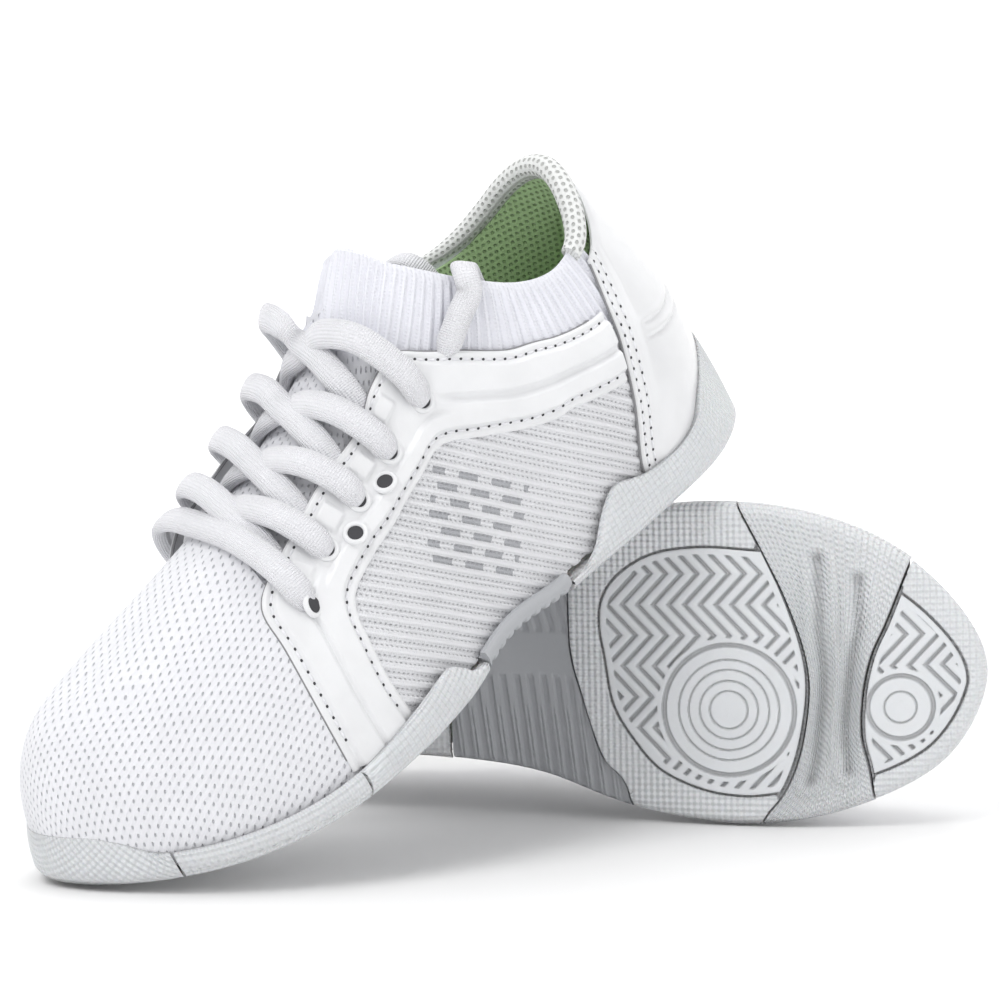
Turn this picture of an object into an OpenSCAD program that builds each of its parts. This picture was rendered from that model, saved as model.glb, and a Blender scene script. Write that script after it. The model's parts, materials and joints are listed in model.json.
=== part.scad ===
// A pair of cheer shoes. The right shoe lies on its inner side. The left shoe stands on its toe
// with its heel on the edge of the right shoe's sole.
// Each shoe is drawn upright in its own frame: x from heel to toe, y towards the outer (lateral)
// side, z up from the ground. The right shoe is the mirror image of the left one.

/* [Shoe] */
// Length of the outsole
shoe_l = 249; // [246:1:252]
// Width of the outsole across the ball
ball_w = 92.5; // [91:0.5:94]
// Height of the toe tip above the ground
toe_spring = 16; // [14:1:17]
// Rise of the arch between ball and heel
arch_rise = 3; // [2:0.5:3.5]

/* [Layers] */
// Thickness of a knit, lining or board layer
knit_t = 1; // [0.8:0.1:1]
// Thickness of the leather overlays and the heel counter
leather_t = 0.9; // [0.7:0.1:0.9]
// Clearance between neighbouring layers
gap = 0.6; // [0.6:0.05:0.65]
// Thickness of the rubber side wall
wall_t = 1.9; // [1.6:0.1:2]
// Thickness of the rubber under the foot
floor_t = 3.4; // [3:0.1:3.4]

/* [Tread] */
// Depth of the recess that holds a tread pad
recess_t = 1.5; // [1.2:0.1:1.6]
// Depth of the grooves in the tread
groove_t = 0.8; // [0.6:0.1:0.9]
// Width of a zigzag groove along the shoe
groove_w = 1.4; // [1:0.1:1.5]
// Width of the smooth border round the zigzags
border_w = 1.5; // [1:0.1:2]
// Distance between two zigzag grooves
zigzag_step = 4.6; // [4.4:0.1:5]
// Half of the zigzag's wave length
zigzag_half = 9; // [8.5:0.5:9.5]

/* [Laces] */
// Width of the lace
lace_w = 8; // [7:0.5:8]
// Thickness of the lace
lace_t = 4; // [3.5:0.1:4]
// Length of the plastic lace tip
aglet_l = 20; // [16:1:20]
// Diameter of the plastic lace tip
aglet_d = 3.4; // [3:0.1:3.6]
// Radius of a punched eyelet
eyelet_r = 2.2; // [2:0.1:2.3]

/* [Placement] */
// Rotation of the left shoe about its own x, y and z
left_turn = [-2.91, 32.9, -145.58];
// Position of the left shoe's heel
left_pos = [56.8, 22.8, 121.8];
// Rotation of the right shoe about its own x, y and z
right_turn = [-88.64, -0.88, -13.94];
// Position of the right shoe's heel
right_pos = [-113.9, 30.4, 43.3];

/* [Hidden] */
PIECES = [
  "outsole_toe", "outsole_flex_strip", "outsole_ball", "arch_plate", "outsole_heel",
  "toe_tread_pad", "ball_tread_pad", "heel_tread_pad", "insole_board", "insole",
  "toe_puff", "heel_stiffener", "vamp_knit", "tongue_knit", "ribbed_cuff",
  "lateral_side_panel", "medial_side_panel", "lateral_overlay", "medial_overlay",
  "heel_counter", "collar_lining", "collar_foam", "lace", "aglets"
];

white = [0.93, 0.93, 0.95];
rubber = [0.86, 0.86, 0.87];
plate_grey = [0.70, 0.70, 0.72];
green = [0.55, 0.68, 0.45];
board = [0.80, 0.76, 0.66];

kx = shoe_l / 249;
ky = ball_w / 92.5;
upper_floor = floor_t + gap + 0.5;
upper_inset = wall_t + 2 * leather_t + 2 * knit_t + 2 * gap - 0.1;
vamp_in = knit_t + gap;
vamp_out = vamp_in + knit_t;
skin_in = vamp_out + gap;
skin_out = skin_in + leather_t;
far = 400;
// Heights of a lace strand above the inner surface: in an eyelet, over and under another strand
hole_lift = skin_out + lace_t / 2 + 1.55;
over_lift = skin_out + lace_t;
under_lift = knit_t + lace_t / 2 + 0.4;

// Outline of the outsole, heel to toe tip: outer side and inner side
LATERAL = [[0, 0], [7, 17], [28, 29.5], [59, 32.5], [93, 33], [123, 38], [157, 46.5], [191, 46],
  [220, 36], [241, 17], [249, -4]];
MEDIAL = [[0, 0], [7, -15.5], [27, -27.5], [57, -29], [88, -27.7], [120, -32.5], [152, -42.5],
  [183, -46], [213, -40.5], [238, -27], [249, -4]];

// Collar edge (first nine points), cuff front and ridge of the foot, every half step from heel to toe
RIDGE = [[94, 0, 108.5], [112, 0, 87], [128, 0, 76.5], [147, -0.5, 68], [163, -1, 63], [179, -2, 59],
  [191, -3, 56], [201, -4, 53.5], [207, -4.5, 52], [210, -5, 51.2], [211.5, -5, 50.7], [212, -5, 50.5]];
TOP_LATERAL = concat([[24, 0, 94], [25, 6.5, 93], [28, 13, 89], [33, 19, 82.5], [39, 22.5, 77.5],
  [49, 24, 75.5], [61, 24.5, 79.5], [74, 23, 89], [87.5, 17, 101.5]], RIDGE);
TOP_MEDIAL = concat([[24, 0, 94], [25, -6.5, 93], [28, -13, 90], [33, -19, 85.5], [41, -23, 82],
  [51, -24, 81.5], [62, -24, 84], [74, -22.5, 91], [87.5, -17, 102]], RIDGE);

// Lines across the sole where one rubber piece ends and the next begins, outer to inner side
TOE_LINE = [[240, 60], [229, 32], [225, 22], [221, 12], [217, 3], [214.5, -8], [214, -20], [216, -29],
  [217.5, -38], [221, -60]];
FLEX_LINE = [[172, 60], [180, 46], [187.7, 31], [193, 19.5], [197.7, 6], [199.5, -5], [198.5, -17],
  [196, -28], [192, -37], [186.5, -44], [176, -60]];
BALL_LINE = [[129, 60], [129, 13], [130, 1], [132.7, -8.6], [135.5, -18], [139.5, -28], [146, -36],
  [152, -60]];
HEEL_LINE = [[91, 60], [92, 0], [95, -60]];
BALL_PAD = [[200, 32.5], [187.7, 33], [168.8, 34.4], [155, 32.5], [145.2, 27], [140, 20], [139, 11.7],
  [140.5, 2], [142.8, -11], [148.5, -21], [156.6, -30], [168.8, -35.5], [181, -37.2], [200, -37]];
BALL_PIVOT = [176.4, -12.5];
TOE_PIVOT = [225, -12];
HEEL_PIVOT = [34, 0.5];

// Height of the rubber side wall above the ground, along the shoe
HEEL_WALL = [[-9, 29], [0, 29], [8, 27], [21, 21], [29, 15.5], [39, 13], [53, 13.5], [64, 17],
  [70, 14.5], [75, 10], [79, 6], [86, 3], [96, 2]];
ARCH_WALL = [[80, 6.5], [160, 6.5]];
FORE_WALL = [[120, 1], [133, 2], [136, 5], [140, 11], [146, 12.5], [160, 10.5], [180, 8], [203, 7.5],
  [225, 8], [232, 9], [238, 13], [244, 15], [260, 15.5]];

// Edges of the upper's pieces as [place round the shoe, share of the height]
OVERLAY_LOW = [[2.58, 0.495], [3.12, 0.5], [3.4, 0.45], [3.75, 0.39], [4.1, 0.35], [4.4, 0.33],
  [4.7, 0.34], [5, 0.38], [5.3, 0.395], [5.55, 0.405], [5.85, 0.395], [5.96, 0.35], [6, 0.27],
  [6.03, 0.16], [6, 0.04]];
OVERLAY_TOP = [[2.34, 0.77], [2.83, 0.77], [3.2, 0.755], [3.53, 0.69], [4, 0.6], [4.3, 0.55],
  [4.6, 0.55], [4.88, 0.595], [5.4, 0.655], [5.8, 0.67], [6.3, 0.645], [6.58, 0.59], [6.62, 0.44],
  [6.66, 0.24], [6.68, 0.04]];
COUNTER_EDGE = [[2.78, 0.05], [2.78, 0.175], [2.6, 0.41], [2.48, 0.545], [2.35, 0.655], [2.22, 0.77],
  [2, 0.93]];
PANEL_TOP = [[2.05, 0.72], [3.4, 0.68], [4, 0.57], [4.5, 0.52], [5, 0.57], [5.5, 0.63], [6.1, 0.6],
  [6.38, 0.5]];
EYELETS = [[6.28, 0.48], [5.88, 0.537], [5.43, 0.53], [4.93, 0.48], [4.42, 0.425]];
SPARE_EYELETS = [[5.62, 0.49], [5.15, 0.47]];

// Catmull-Rom curve through b and c
function curve(a, b, c, d, u) =
  0.5 * (2 * b + (c - a) * u + (2 * a - 5 * b + 4 * c - d) * u * u + (3 * b - a - 3 * c + d) * u * u * u);
function last(list) = len(list) - 1;
// Point at place k of a closed line made of two half lists that meet at both ends
function on_loop(near, away, k) = let (
  i = min(floor(k), last(near) - 1),
  before = i == 0 ? away[1] : near[i - 1],
  after = i == last(near) - 1 ? away[last(near) - 1] : near[i + 2]
) curve(before, near[i], near[i + 1], after, k - i);
// Point at share u of an open list, straight between its points
function along(list, u) = let (
  k = u * last(list),
  i = min(floor(k), last(list) - 1)
) list[i] + (list[i + 1] - list[i]) * (k - i);
function unit(v) = v / norm(v);
function smooth(u) = let (v = min(max(u, 0), 1)) v * v * (3 - 2 * v);
function wrap(s) = s > 10 ? s - 20 : (s < -10 ? s + 20 : s);

// Outline: s is 0 at the heel, 10 at the toe, positive on the outer side, negative on the inner side
function outline(s) = let (
  w = wrap(s),
  p = w >= 0 ? on_loop(LATERAL, MEDIAL, w) : on_loop(MEDIAL, LATERAL, -w)
) [p[0] * kx, p[1] * ky];
function outward(s) = let (d = unit(outline(s + 0.01) - outline(s - 0.01))) [-d[1], d[0]];
function inset(s, d) = outline(s) - outward(s) * d;
function inset_shape(d, n = 100) = [for (k = [0 : n - 1]) inset(-10 + 20 * k / n, d)];

// Height of the sole's underside above the ground
function ground(x) = let (u = x / kx)
  (u > 175 ? toe_spring * pow((u - 175) / 74, 2) : 0)
  + (u > 92 && u < 140 ? arch_rise * pow(sin(180 * (u - 92) / 48), 2) : 0);

// Inner surface of the upper: t is 0 at the sole and 1 at the collar edge or the ridge of the foot
function top_at(s) = let (
  w = wrap(s),
  p = w >= 0 ? on_loop(TOP_LATERAL, TOP_MEDIAL, 2 * w) : on_loop(TOP_MEDIAL, TOP_LATERAL, -2 * w)
) [p[0] * kx, p[1] * ky, p[2]];
function upper(s, t) = let (
  a = abs(wrap(s)),
  n = outward(s),
  b = inset(s, upper_inset + 1.8 * (1 - smooth((a - 1) / 1.5))),
  low = ground(b[0]) + upper_floor,
  r = top_at(s),
  arc = smooth((a - 3) / 1.5),
  full = 0.9 - 0.17 * smooth((a - 6) / 2.5),
  side = (1 - arc) * pow(t, 2.6 - smooth(a / 2.5)) + arc * (1 - pow(cos(90 * t), full)),
  rise = (1 - arc) * t + arc * sin(90 * t),
  bulge = (3 + smooth(a / 2)) * pow(sin(180 * t), 2) * (1 - arc),
  plan = b + ([r[0], r[1]] - b) * side + n * bulge
) [plan[0], plan[1], low + (r[2] - low) * rise];
function upper_normal(s, t) = let (
  t1 = min(t + 0.02, 1),
  t0 = max(t - 0.02, 0)
) unit(cross(upper(s, t1) - upper(s, t0), upper(s + 0.02, t) - upper(s - 0.02, t)));
function on_upper(st, lift) = upper(st[0], st[1]) + upper_normal(st[0], st[1]) * lift;
function mirror_st(list) = [for (p = list) [-p[0], p[1]]];

// Grid of points on the upper between two edge lists
function patch(low, high, n, m) = [for (i = [0 : n]) let (a = along(low, i / n), b = along(high, i / n))
  [for (j = [0 : m]) let (p = a + (b - a) * j / m) upper(p[0], p[1])]];
// Grid that runs over the ridge of the foot from the outer edge list to the inner one
function saddle(edge, n, m) = [for (i = [0 : n]) let (a = along(edge, i / n))
  [for (j = [-m : m]) let (side = j > 0 ? -1 : 1) upper(side * a[0], 1 - (1 - a[1]) * abs(j) / m)]];

// Closed shell on both sides of a grid, from offset low to offset high away from the foot
module shell(grid, low, high) {
  n = last(grid);
  m = last(grid[0]);
  w = m + 1;
  mid = cross(
    grid[floor(n / 2) + 1][floor(m / 2)] - grid[floor(n / 2)][floor(m / 2)],
    grid[floor(n / 2)][floor(m / 2) + 1] - grid[floor(n / 2)][floor(m / 2)]
  );
  core = [grid[floor(n / 2)][floor(m / 2)][0] * 0.8 + 20, 0, 20];
  flip = mid * (grid[floor(n / 2)][floor(m / 2)] - core) < 0 ? -1 : 1;
  normals = [for (i = [0 : n]) [for (j = [0 : m]) flip * unit(cross(
    grid[min(i + 1, n)][j] - grid[max(i - 1, 0)][j],
    grid[i][min(j + 1, m)] - grid[i][max(j - 1, 0)]
  ))]];
  points = [for (lift = [high, low]) for (i = [0 : n]) for (j = [0 : m]) grid[i][j] + normals[i][j] * lift];
  k = w * (n + 1);
  sheet = [for (i = [0 : n - 1]) for (j = [0 : m - 1]) let (q = i * w + j)
    each [[q, q + 1, q + w + 1], [q, q + w + 1, q + w]]];
  under = [for (f = sheet) [f[2] + k, f[1] + k, f[0] + k]];
  long_edges = [for (i = [0 : n - 1]) let (q = i * w, r = i * w + m)
    each [[q, q + w, q + w + k], [q, q + w + k, q + k], [r + w, r, r + k], [r + w, r + k, r + w + k]]];
  short_edges = [for (j = [0 : m - 1]) let (q = j, r = n * w + j)
    each [[q + 1, q, q + k], [q + 1, q + k, q + 1 + k], [r, r + 1, r + 1 + k], [r, r + 1 + k, r + k]]];
  faces = concat(sheet, under, long_edges, short_edges);
  polyhedron(points, flip > 0 ? [for (f = faces) [f[2], f[1], f[0]]] : faces);
}

// Shell round the toe whose two halves meet along the ridge of the foot
module hood(s_rear, n, m, low, high) {
  w = m + 1;
  stations = [for (k = [0 : 2 * n]) k <= n ? s_rear + (10 - s_rear) * k / n : -(10 - (10 - s_rear) * (k - n) / n)];
  ridge_up = [for (k = [0 : 2 * n]) let (
    s = min(abs(stations[k]), 9.9),
    d = top_at(s + 0.05) - top_at(s - 0.05)
  ) unit([-d[2], 0, d[0]])];
  k_all = w * (2 * n + 1);
  points = [for (lift = [high, low]) for (k = [0 : 2 * n]) for (j = [0 : m])
    j == m ? top_at(abs(stations[k])) + ridge_up[k] * lift : on_upper([stations[k], j / m], lift)];
  function at(k, j) = j == m && k > n ? (2 * n - k) * w + m : k * w + j;
  sheet = [for (k = [0 : 2 * n - 1]) for (j = [0 : m - 1])
    each [[at(k, j), at(k, j + 1), at(k + 1, j + 1)], [at(k, j), at(k + 1, j + 1), at(k + 1, j)]]];
  under = [for (f = sheet) [f[2] + k_all, f[1] + k_all, f[0] + k_all]];
  rim = [for (k = [0 : 2 * n - 1]) let (a = at(k, 0), b = at(k + 1, 0))
    each [[a, b, b + k_all], [a, b + k_all, a + k_all]]];
  ends = [for (j = [0 : m - 1]) let (a = at(0, j), b = at(0, j + 1), c = at(2 * n, j), d = at(2 * n, j + 1))
    each [[b, a, a + k_all], [b, a + k_all, b + k_all], [c, d, d + k_all], [c, d + k_all, c + k_all]]];
  polyhedron(points, concat(sheet, under, rim, ends));
}

// Band cut by the side view: everything between two heights above the sole's underside
module side_band(low, high) {
  xs = [for (u = [-12 : 6 : 258]) u];
  rotate([90, 0, 0])
    translate([0, 0, -80])
      linear_extrude(160)
        polygon(concat(
          [for (x = xs) [x, ground(x) + low]],
          [for (i = [last(xs) : -1 : 0]) [xs[i], ground(xs[i]) + high]]
        ));
}
// Band from the sole's underside up to a wall line
module side_wall(line) {
  rotate([90, 0, 0])
    translate([0, 0, -80])
      linear_extrude(160)
        polygon(concat(
          [for (p = line) [p[0] * kx, ground(p[0] * kx) + p[1]]],
          [[line[last(line)][0] * kx, -5], [line[0][0] * kx, -5]]
        ));
}
module plan(points, low = -10, high = 60) {
  translate([0, 0, low])
    linear_extrude(high - low)
      polygon(points);
}
function scaled(line, dx = 0) = [for (p = line) [p[0] * kx + dx, p[1] * ky]];
function reversed(line) = [for (i = [last(line) : -1 : 0]) line[i]];
// Plan area between two lines across the sole
function between(rear, front) = concat(scaled(rear, gap / 2), reversed(scaled(front, -gap / 2)));
FAR_FRONT = [[far, 60], [far, -60]];
FAR_REAR = [[-far, 60], [-far, -60]];

// Rubber cup over one plan area: a floor and a side wall with the given top line
module cup(area, wall_line, low = 0) {
  intersection() {
    plan(inset_shape(0));
    plan(area);
    side_band(low, 40);
    side_wall(wall_line);
    difference() {
      plan(inset_shape(-1));
      intersection() {
        plan(inset_shape(wall_t));
        side_band(floor_t, 70);
      }
    }
  }
}
// Tread area between two lines across the sole, kept clear of the outline
module pad_area(area, edge_inset, outline_points) {
  intersection() {
    polygon(area);
    polygon(outline_points);
    polygon(inset_shape(edge_inset));
  }
}
// Recess for a tread pad, cut from below
module recess() {
  intersection() {
    translate([0, 0, -10])
      linear_extrude(60)
        children();
    side_band(-5, recess_t);
  }
}
// Tread pad over a plan shape, with zigzag grooves outside a pivot disc, rings inside it and straight
// grooves that cross the whole pad
module tread_pad(first, count, pivot, rings, disc, crossing = []) {
  centre = [pivot[0] * kx, pivot[1] * ky];
  difference() {
    intersection() {
      translate([0, 0, -10])
        linear_extrude(60)
          offset(delta = -gap)
            children();
      side_band(0, recess_t - 0.1);
    }
    intersection() {
      side_band(-5, groove_t);
      translate([0, 0, -10])
        linear_extrude(60)
          offset(delta = 0.3)
            offset(delta = -0.3) {
              intersection() {
                offset(delta = -gap - border_w)
                  children();
                union() {
                  difference() {
                    for (i = [0 : count - 1])
                      zigzag(first + i * zigzag_step, groove_w);
                    translate(centre)
                      circle(disc + border_w, $fn = 48);
                  }
                  for (r = rings)
                    translate(centre)
                      difference() {
                        circle(r + groove_w / 3, $fn = 36);
                        circle(r - groove_w / 3, $fn = 36);
                      }
                }
              }
              for (x = crossing)
                translate([x, -60])
                  square([groove_w, 120]);
            }
    }
  }
}
// One zigzag line across the shoe
module zigzag(x, width) {
  tops = [for (i = [-7 : 7]) [x + (abs(i) % 2) * zigzag_half * 0.94, i * zigzag_half]];
  polygon(concat([for (p = tops) p - [width / 2, 0]], [for (i = [last(tops) : -1 : 0]) tops[i] + [width / 2, 0]]));
}
// Closed tube of oval section along a path
module sweep(path, width, height, sides = 8) {
  n = last(path);
  centre = [path[0][0] * 0.5 + path[n][0] * 0.5, 0, 20];
  rings = [for (i = [0 : n]) let (
    d = unit(path[min(i + 1, n)] - path[max(i - 1, 0)]),
    side = unit(cross(d, path[i] - centre)),
    up = cross(side, d)
  ) each [for (k = [0 : sides - 1]) let (a = 360 * k / sides)
    path[i] + side * cos(a) * width / 2 + up * sin(a) * height / 2]];
  tube = [for (i = [0 : n - 1]) for (k = [0 : sides - 1]) let (
    a = i * sides + k,
    b = i * sides + (k + 1) % sides
  ) each [[a, b, b + sides], [a, b + sides, a + sides]]];
  caps = [[for (k = [sides - 1 : -1 : 0]) k], [for (k = [0 : sides - 1]) n * sides + k]];
  polyhedron(rings, concat(tube, caps));
}
module outsole_toe() {
  color(rubber)
    difference() {
      cup(between(TOE_LINE, FAR_FRONT), FORE_WALL);
      recess()
        toe_pad_area();
    }
}
module outsole_flex_strip() {
  color(rubber)
    intersection() {
      cup(between(FLEX_LINE, TOE_LINE), FORE_WALL);
      side_band(0.8, 30);
    }
}
module outsole_ball() {
  color(rubber)
    difference() {
      cup(between(BALL_LINE, FLEX_LINE), FORE_WALL);
      recess()
        ball_pad_area();
    }
}
module arch_plate() {
  color(plate_grey)
    cup(between(HEEL_LINE, BALL_LINE), ARCH_WALL, 1);
}
module outsole_heel() {
  color(rubber)
    difference() {
      cup(between(FAR_REAR, HEEL_LINE), HEEL_WALL);
      recess()
        heel_pad_area();
    }
}
module toe_pad_area() {
  pad_area(concat(scaled(TOE_LINE, gap), reversed(scaled(FAR_FRONT))), 6.5, inset_shape(0));
}
module ball_pad_area() {
  pad_area(between(BALL_LINE, FLEX_LINE), 5, scaled(BALL_PAD));
}
module heel_pad_area() {
  pad_area([[-20, -60], [82, -60], [82, 60], [-20, 60]], 6, inset_shape(0));
}
module toe_tread_pad() {
  color(rubber)
    tread_pad(208.3, 9, TOE_PIVOT, [4.5], 9.1)
      toe_pad_area();
}
module ball_tread_pad() {
  color(rubber)
    tread_pad(130.9, 14, BALL_PIVOT, [5.5, 11.7, 18.2], 18.9)
      ball_pad_area();
}
module heel_tread_pad() {
  color(rubber)
    tread_pad(-2.1, 17, HEEL_PIVOT, [4.5, 8.5], 12.5, [18, 50, 66])
      heel_pad_area();
}
module insole_board() {
  color(board)
    intersection() {
      plan(inset_shape(upper_inset + 2.5));
      side_band(floor_t + gap, floor_t + gap + 1);
    }
}
module insole() {
  color(green)
    intersection() {
      plan(inset_shape(upper_inset + 2.8));
      side_band(floor_t + 2 * gap + 1, floor_t + 2 * gap + 4.5);
    }
}
module toe_puff() {
  color(board)
    shell(patch(
      [[8.7, 0.04], [10, 0.04], [11.3, 0.04]],
      [[8.9, 0.42], [10, 0.5], [11.1, 0.42]],
      14, 4
    ), 0, knit_t);
}
module heel_stiffener() {
  color(board)
    shell(patch([[-2.6, 0.04], [2.6, 0.04]], [[-1.7, 0.62], [1.7, 0.62]], 18, 5), vamp_in, vamp_out);
}
module vamp_knit() {
  color(white)
    hood(6.5, 10, 8, vamp_in, vamp_out);
}
module tongue_knit() {
  color(white)
    shell(saddle([[4.62, 0.66], [5.5, 0.6], [6.6, 0.5]], 12, 7), 0, knit_t);
}
module ribbed_cuff() {
  low = [[2.35, 0.66], [2.9, 0.64], [3.5, 0.58], [4.1, 0.5], [4.5, 0.52], [4.55, 0.8], [4.58, 1]];
  high = [[2.2, 1], [2.7, 1], [3.2, 1], [3.7, 1], [4.1, 1], [4.35, 1], [4.5, 1]];
  lateral = [for (i = [0 : 12]) [along(low, i / 12), along(high, i / 12)]];
  medial = [for (i = [11 : -1 : 0]) let (e = lateral[i]) [[-e[0][0], e[0][1]], [-e[1][0], e[1][1]]]];
  grid = [for (e = concat(lateral, medial)) let (
    a = upper(e[0][0], e[0][1]),
    b = upper(e[1][0], e[1][1])
  ) [for (j = [0 : 4]) a + (b - a) * j / 4]];
  color(white)
    shell(grid, 0, knit_t);
}
module side_panel(side) {
  low = [[2.75, 0.04], [4.2, 0.04], [5.4, 0.04], [6.38, 0.04]];
  high = PANEL_TOP;
  color(white)
    shell(patch(side > 0 ? low : mirror_st(low), side > 0 ? high : mirror_st(high), 18, 5), vamp_in, vamp_out);
}
module overlay(side) {
  low = side > 0 ? OVERLAY_LOW : mirror_st(OVERLAY_LOW);
  high = side > 0 ? OVERLAY_TOP : mirror_st(OVERLAY_TOP);
  color(white)
    difference() {
      shell(patch(low, high, 42, 4), skin_in, skin_out);
      for (e = concat(EYELETS, SPARE_EYELETS))
        eyelet_punch([side * e[0], e[1]]);
    }
}
// Cylinder through the upper at one eyelet, square to the surface
module eyelet_punch(st) {
  n = upper_normal(st[0], st[1]);
  translate(on_upper(st, skin_in - 1))
    rotate([0, acos(n[2]), atan2(n[1], n[0])])
      cylinder(h = 4, r = eyelet_r, $fn = 32);
}
module heel_counter() {
  n = 24;
  grid = [for (i = [0 : n]) [for (j = [0 : 8]) let (e = along(COUNTER_EDGE, j / 8))
    upper(e[0] * (1 - 2 * i / n), e[1])]];
  color(white)
    shell(grid, skin_in, skin_out);
}
module collar_lining() {
  color(green)
    shell(patch([[-2.1, 0.3], [0, 0.3], [2.1, 0.3]], [[-2.1, 0.99], [0, 0.99], [2.1, 0.99]], 20, 6), 0, knit_t);
}
module collar_foam() {
  color(white)
    shell(patch([[-1.6, 0.68], [0, 0.68], [1.6, 0.68]], [[-1.8, 0.98], [0, 0.98], [1.8, 0.98]], 16, 3),
      vamp_in, vamp_out);
}
// Smooth path through a list of points, n steps between two of them
function smooth_path(list, n) = [for (i = [0 : last(list) - 1]) for (k = [0 : n - (i < last(list) - 1 ? 1 : 0)])
  curve(list[max(i - 1, 0)], list[i], list[i + 1], list[min(i + 2, last(list))], k / n)];
// Path through a list of [place, height, lift] over the upper
function lace_path(list, n) = smooth_path([for (p = list) on_upper([p[0], p[1]], p[2])], n);
// Strand i starts in the eyelet above and ends at the opposite edge one eyelet lower; the top strand
// is lifted more where it crosses the cuff
module strand(i, side) {
  from = EYELETS[i + 1];
  to = EYELETS[i];
  s_mid = (from[0] + to[0]) / 2;
  ridge_lift = side < 0 ? over_lift : under_lift;
  sweep(lace_path([
    [side * from[0], from[1], hole_lift],
    [side * (from[0] * 0.75 + to[0] * 0.25), 0.76, over_lift + 1],
    [side * s_mid, 1, ridge_lift + (i == 3 ? 3 : 1.6)],
    [-side * (from[0] * 0.3 + to[0] * 0.7), 0.88, (ridge_lift + under_lift) / 2 + 0.5],
    [-side * (to[0] + 0.05), 0.79, under_lift]
  ], 3), lace_w, lace_t);
}
// Points of a lace end that leaves the tongue, goes over the cuff's rim and down into the shoe
function tail_points(side) = [
  on_upper([side * 4.15, 0.82], under_lift + 1.1),
  on_upper([side * 3.85, 0.89], under_lift + 1.8),
  on_upper([side * 3.62, 1], under_lift + 2.3),
  on_upper([side * 3.5, 1], 0) + [0, 0, lace_t + 1.7],
  on_upper([side * 3.4, 0.98], -1.45 * lace_t),
  on_upper([side * 3.3, 0.8], -1.6 * lace_t)
];
module lace() {
  first = EYELETS[0];
  color(white) {
    sweep(lace_path([
      [first[0], first[1], hole_lift],
      [first[0] - 0.02, 0.72, over_lift],
      [first[0] - 0.03, 1, under_lift + 1],
      [-first[0] + 0.02, 0.72, over_lift],
      [-first[0], first[1], hole_lift]
    ], 3), lace_w, lace_t);
    for (i = [0 : 3]) {
      strand(i, -1);
      strand(i, 1);
    }
    for (side = [-1, 1])
      sweep(smooth_path(tail_points(side), 3), lace_w * 0.85, lace_t * 0.85);
  }
}
// Plastic tips at the tucked lace ends
module aglets() {
  for (side = [-1, 1]) {
    tail = tail_points(side);
    a = tail[last(tail)];
    d = unit(a - tail[last(tail) - 1]);
    color(white)
      translate(a + d * gap)
        rotate([0, acos(d[2]), atan2(d[1], d[0])])
          cylinder(h = aglet_l, d = aglet_d, $fn = 24);
  }
}

module piece(name) {
  if (name == "outsole_toe") outsole_toe();
  if (name == "outsole_flex_strip") outsole_flex_strip();
  if (name == "outsole_ball") outsole_ball();
  if (name == "arch_plate") arch_plate();
  if (name == "outsole_heel") outsole_heel();
  if (name == "toe_tread_pad") toe_tread_pad();
  if (name == "ball_tread_pad") ball_tread_pad();
  if (name == "heel_tread_pad") heel_tread_pad();
  if (name == "insole_board") insole_board();
  if (name == "insole") insole();
  if (name == "toe_puff") toe_puff();
  if (name == "heel_stiffener") heel_stiffener();
  if (name == "vamp_knit") vamp_knit();
  if (name == "tongue_knit") tongue_knit();
  if (name == "ribbed_cuff") ribbed_cuff();
  if (name == "lateral_side_panel") side_panel(1);
  if (name == "medial_side_panel") side_panel(-1);
  if (name == "lateral_overlay") overlay(1);
  if (name == "medial_overlay") overlay(-1);
  if (name == "heel_counter") heel_counter();
  if (name == "collar_lining") collar_lining();
  if (name == "collar_foam") collar_foam();
  if (name == "lace") lace();
  if (name == "aglets") aglets();
}
module place_left() {
  translate(left_pos)
    rotate(left_turn)
      children();
}
module place_right() {
  translate(right_pos)
    rotate(right_turn)
      mirror([0, 1, 0])
        children();
}

for (p = PIECES) {
  place_left() piece(p);
  place_right() piece(p);
}
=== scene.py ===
"""Looks of the pair of cheer shoes: knit uppers, stitched overlays, laces, rubber soles with a zigzag tread."""

import json
import math

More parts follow.
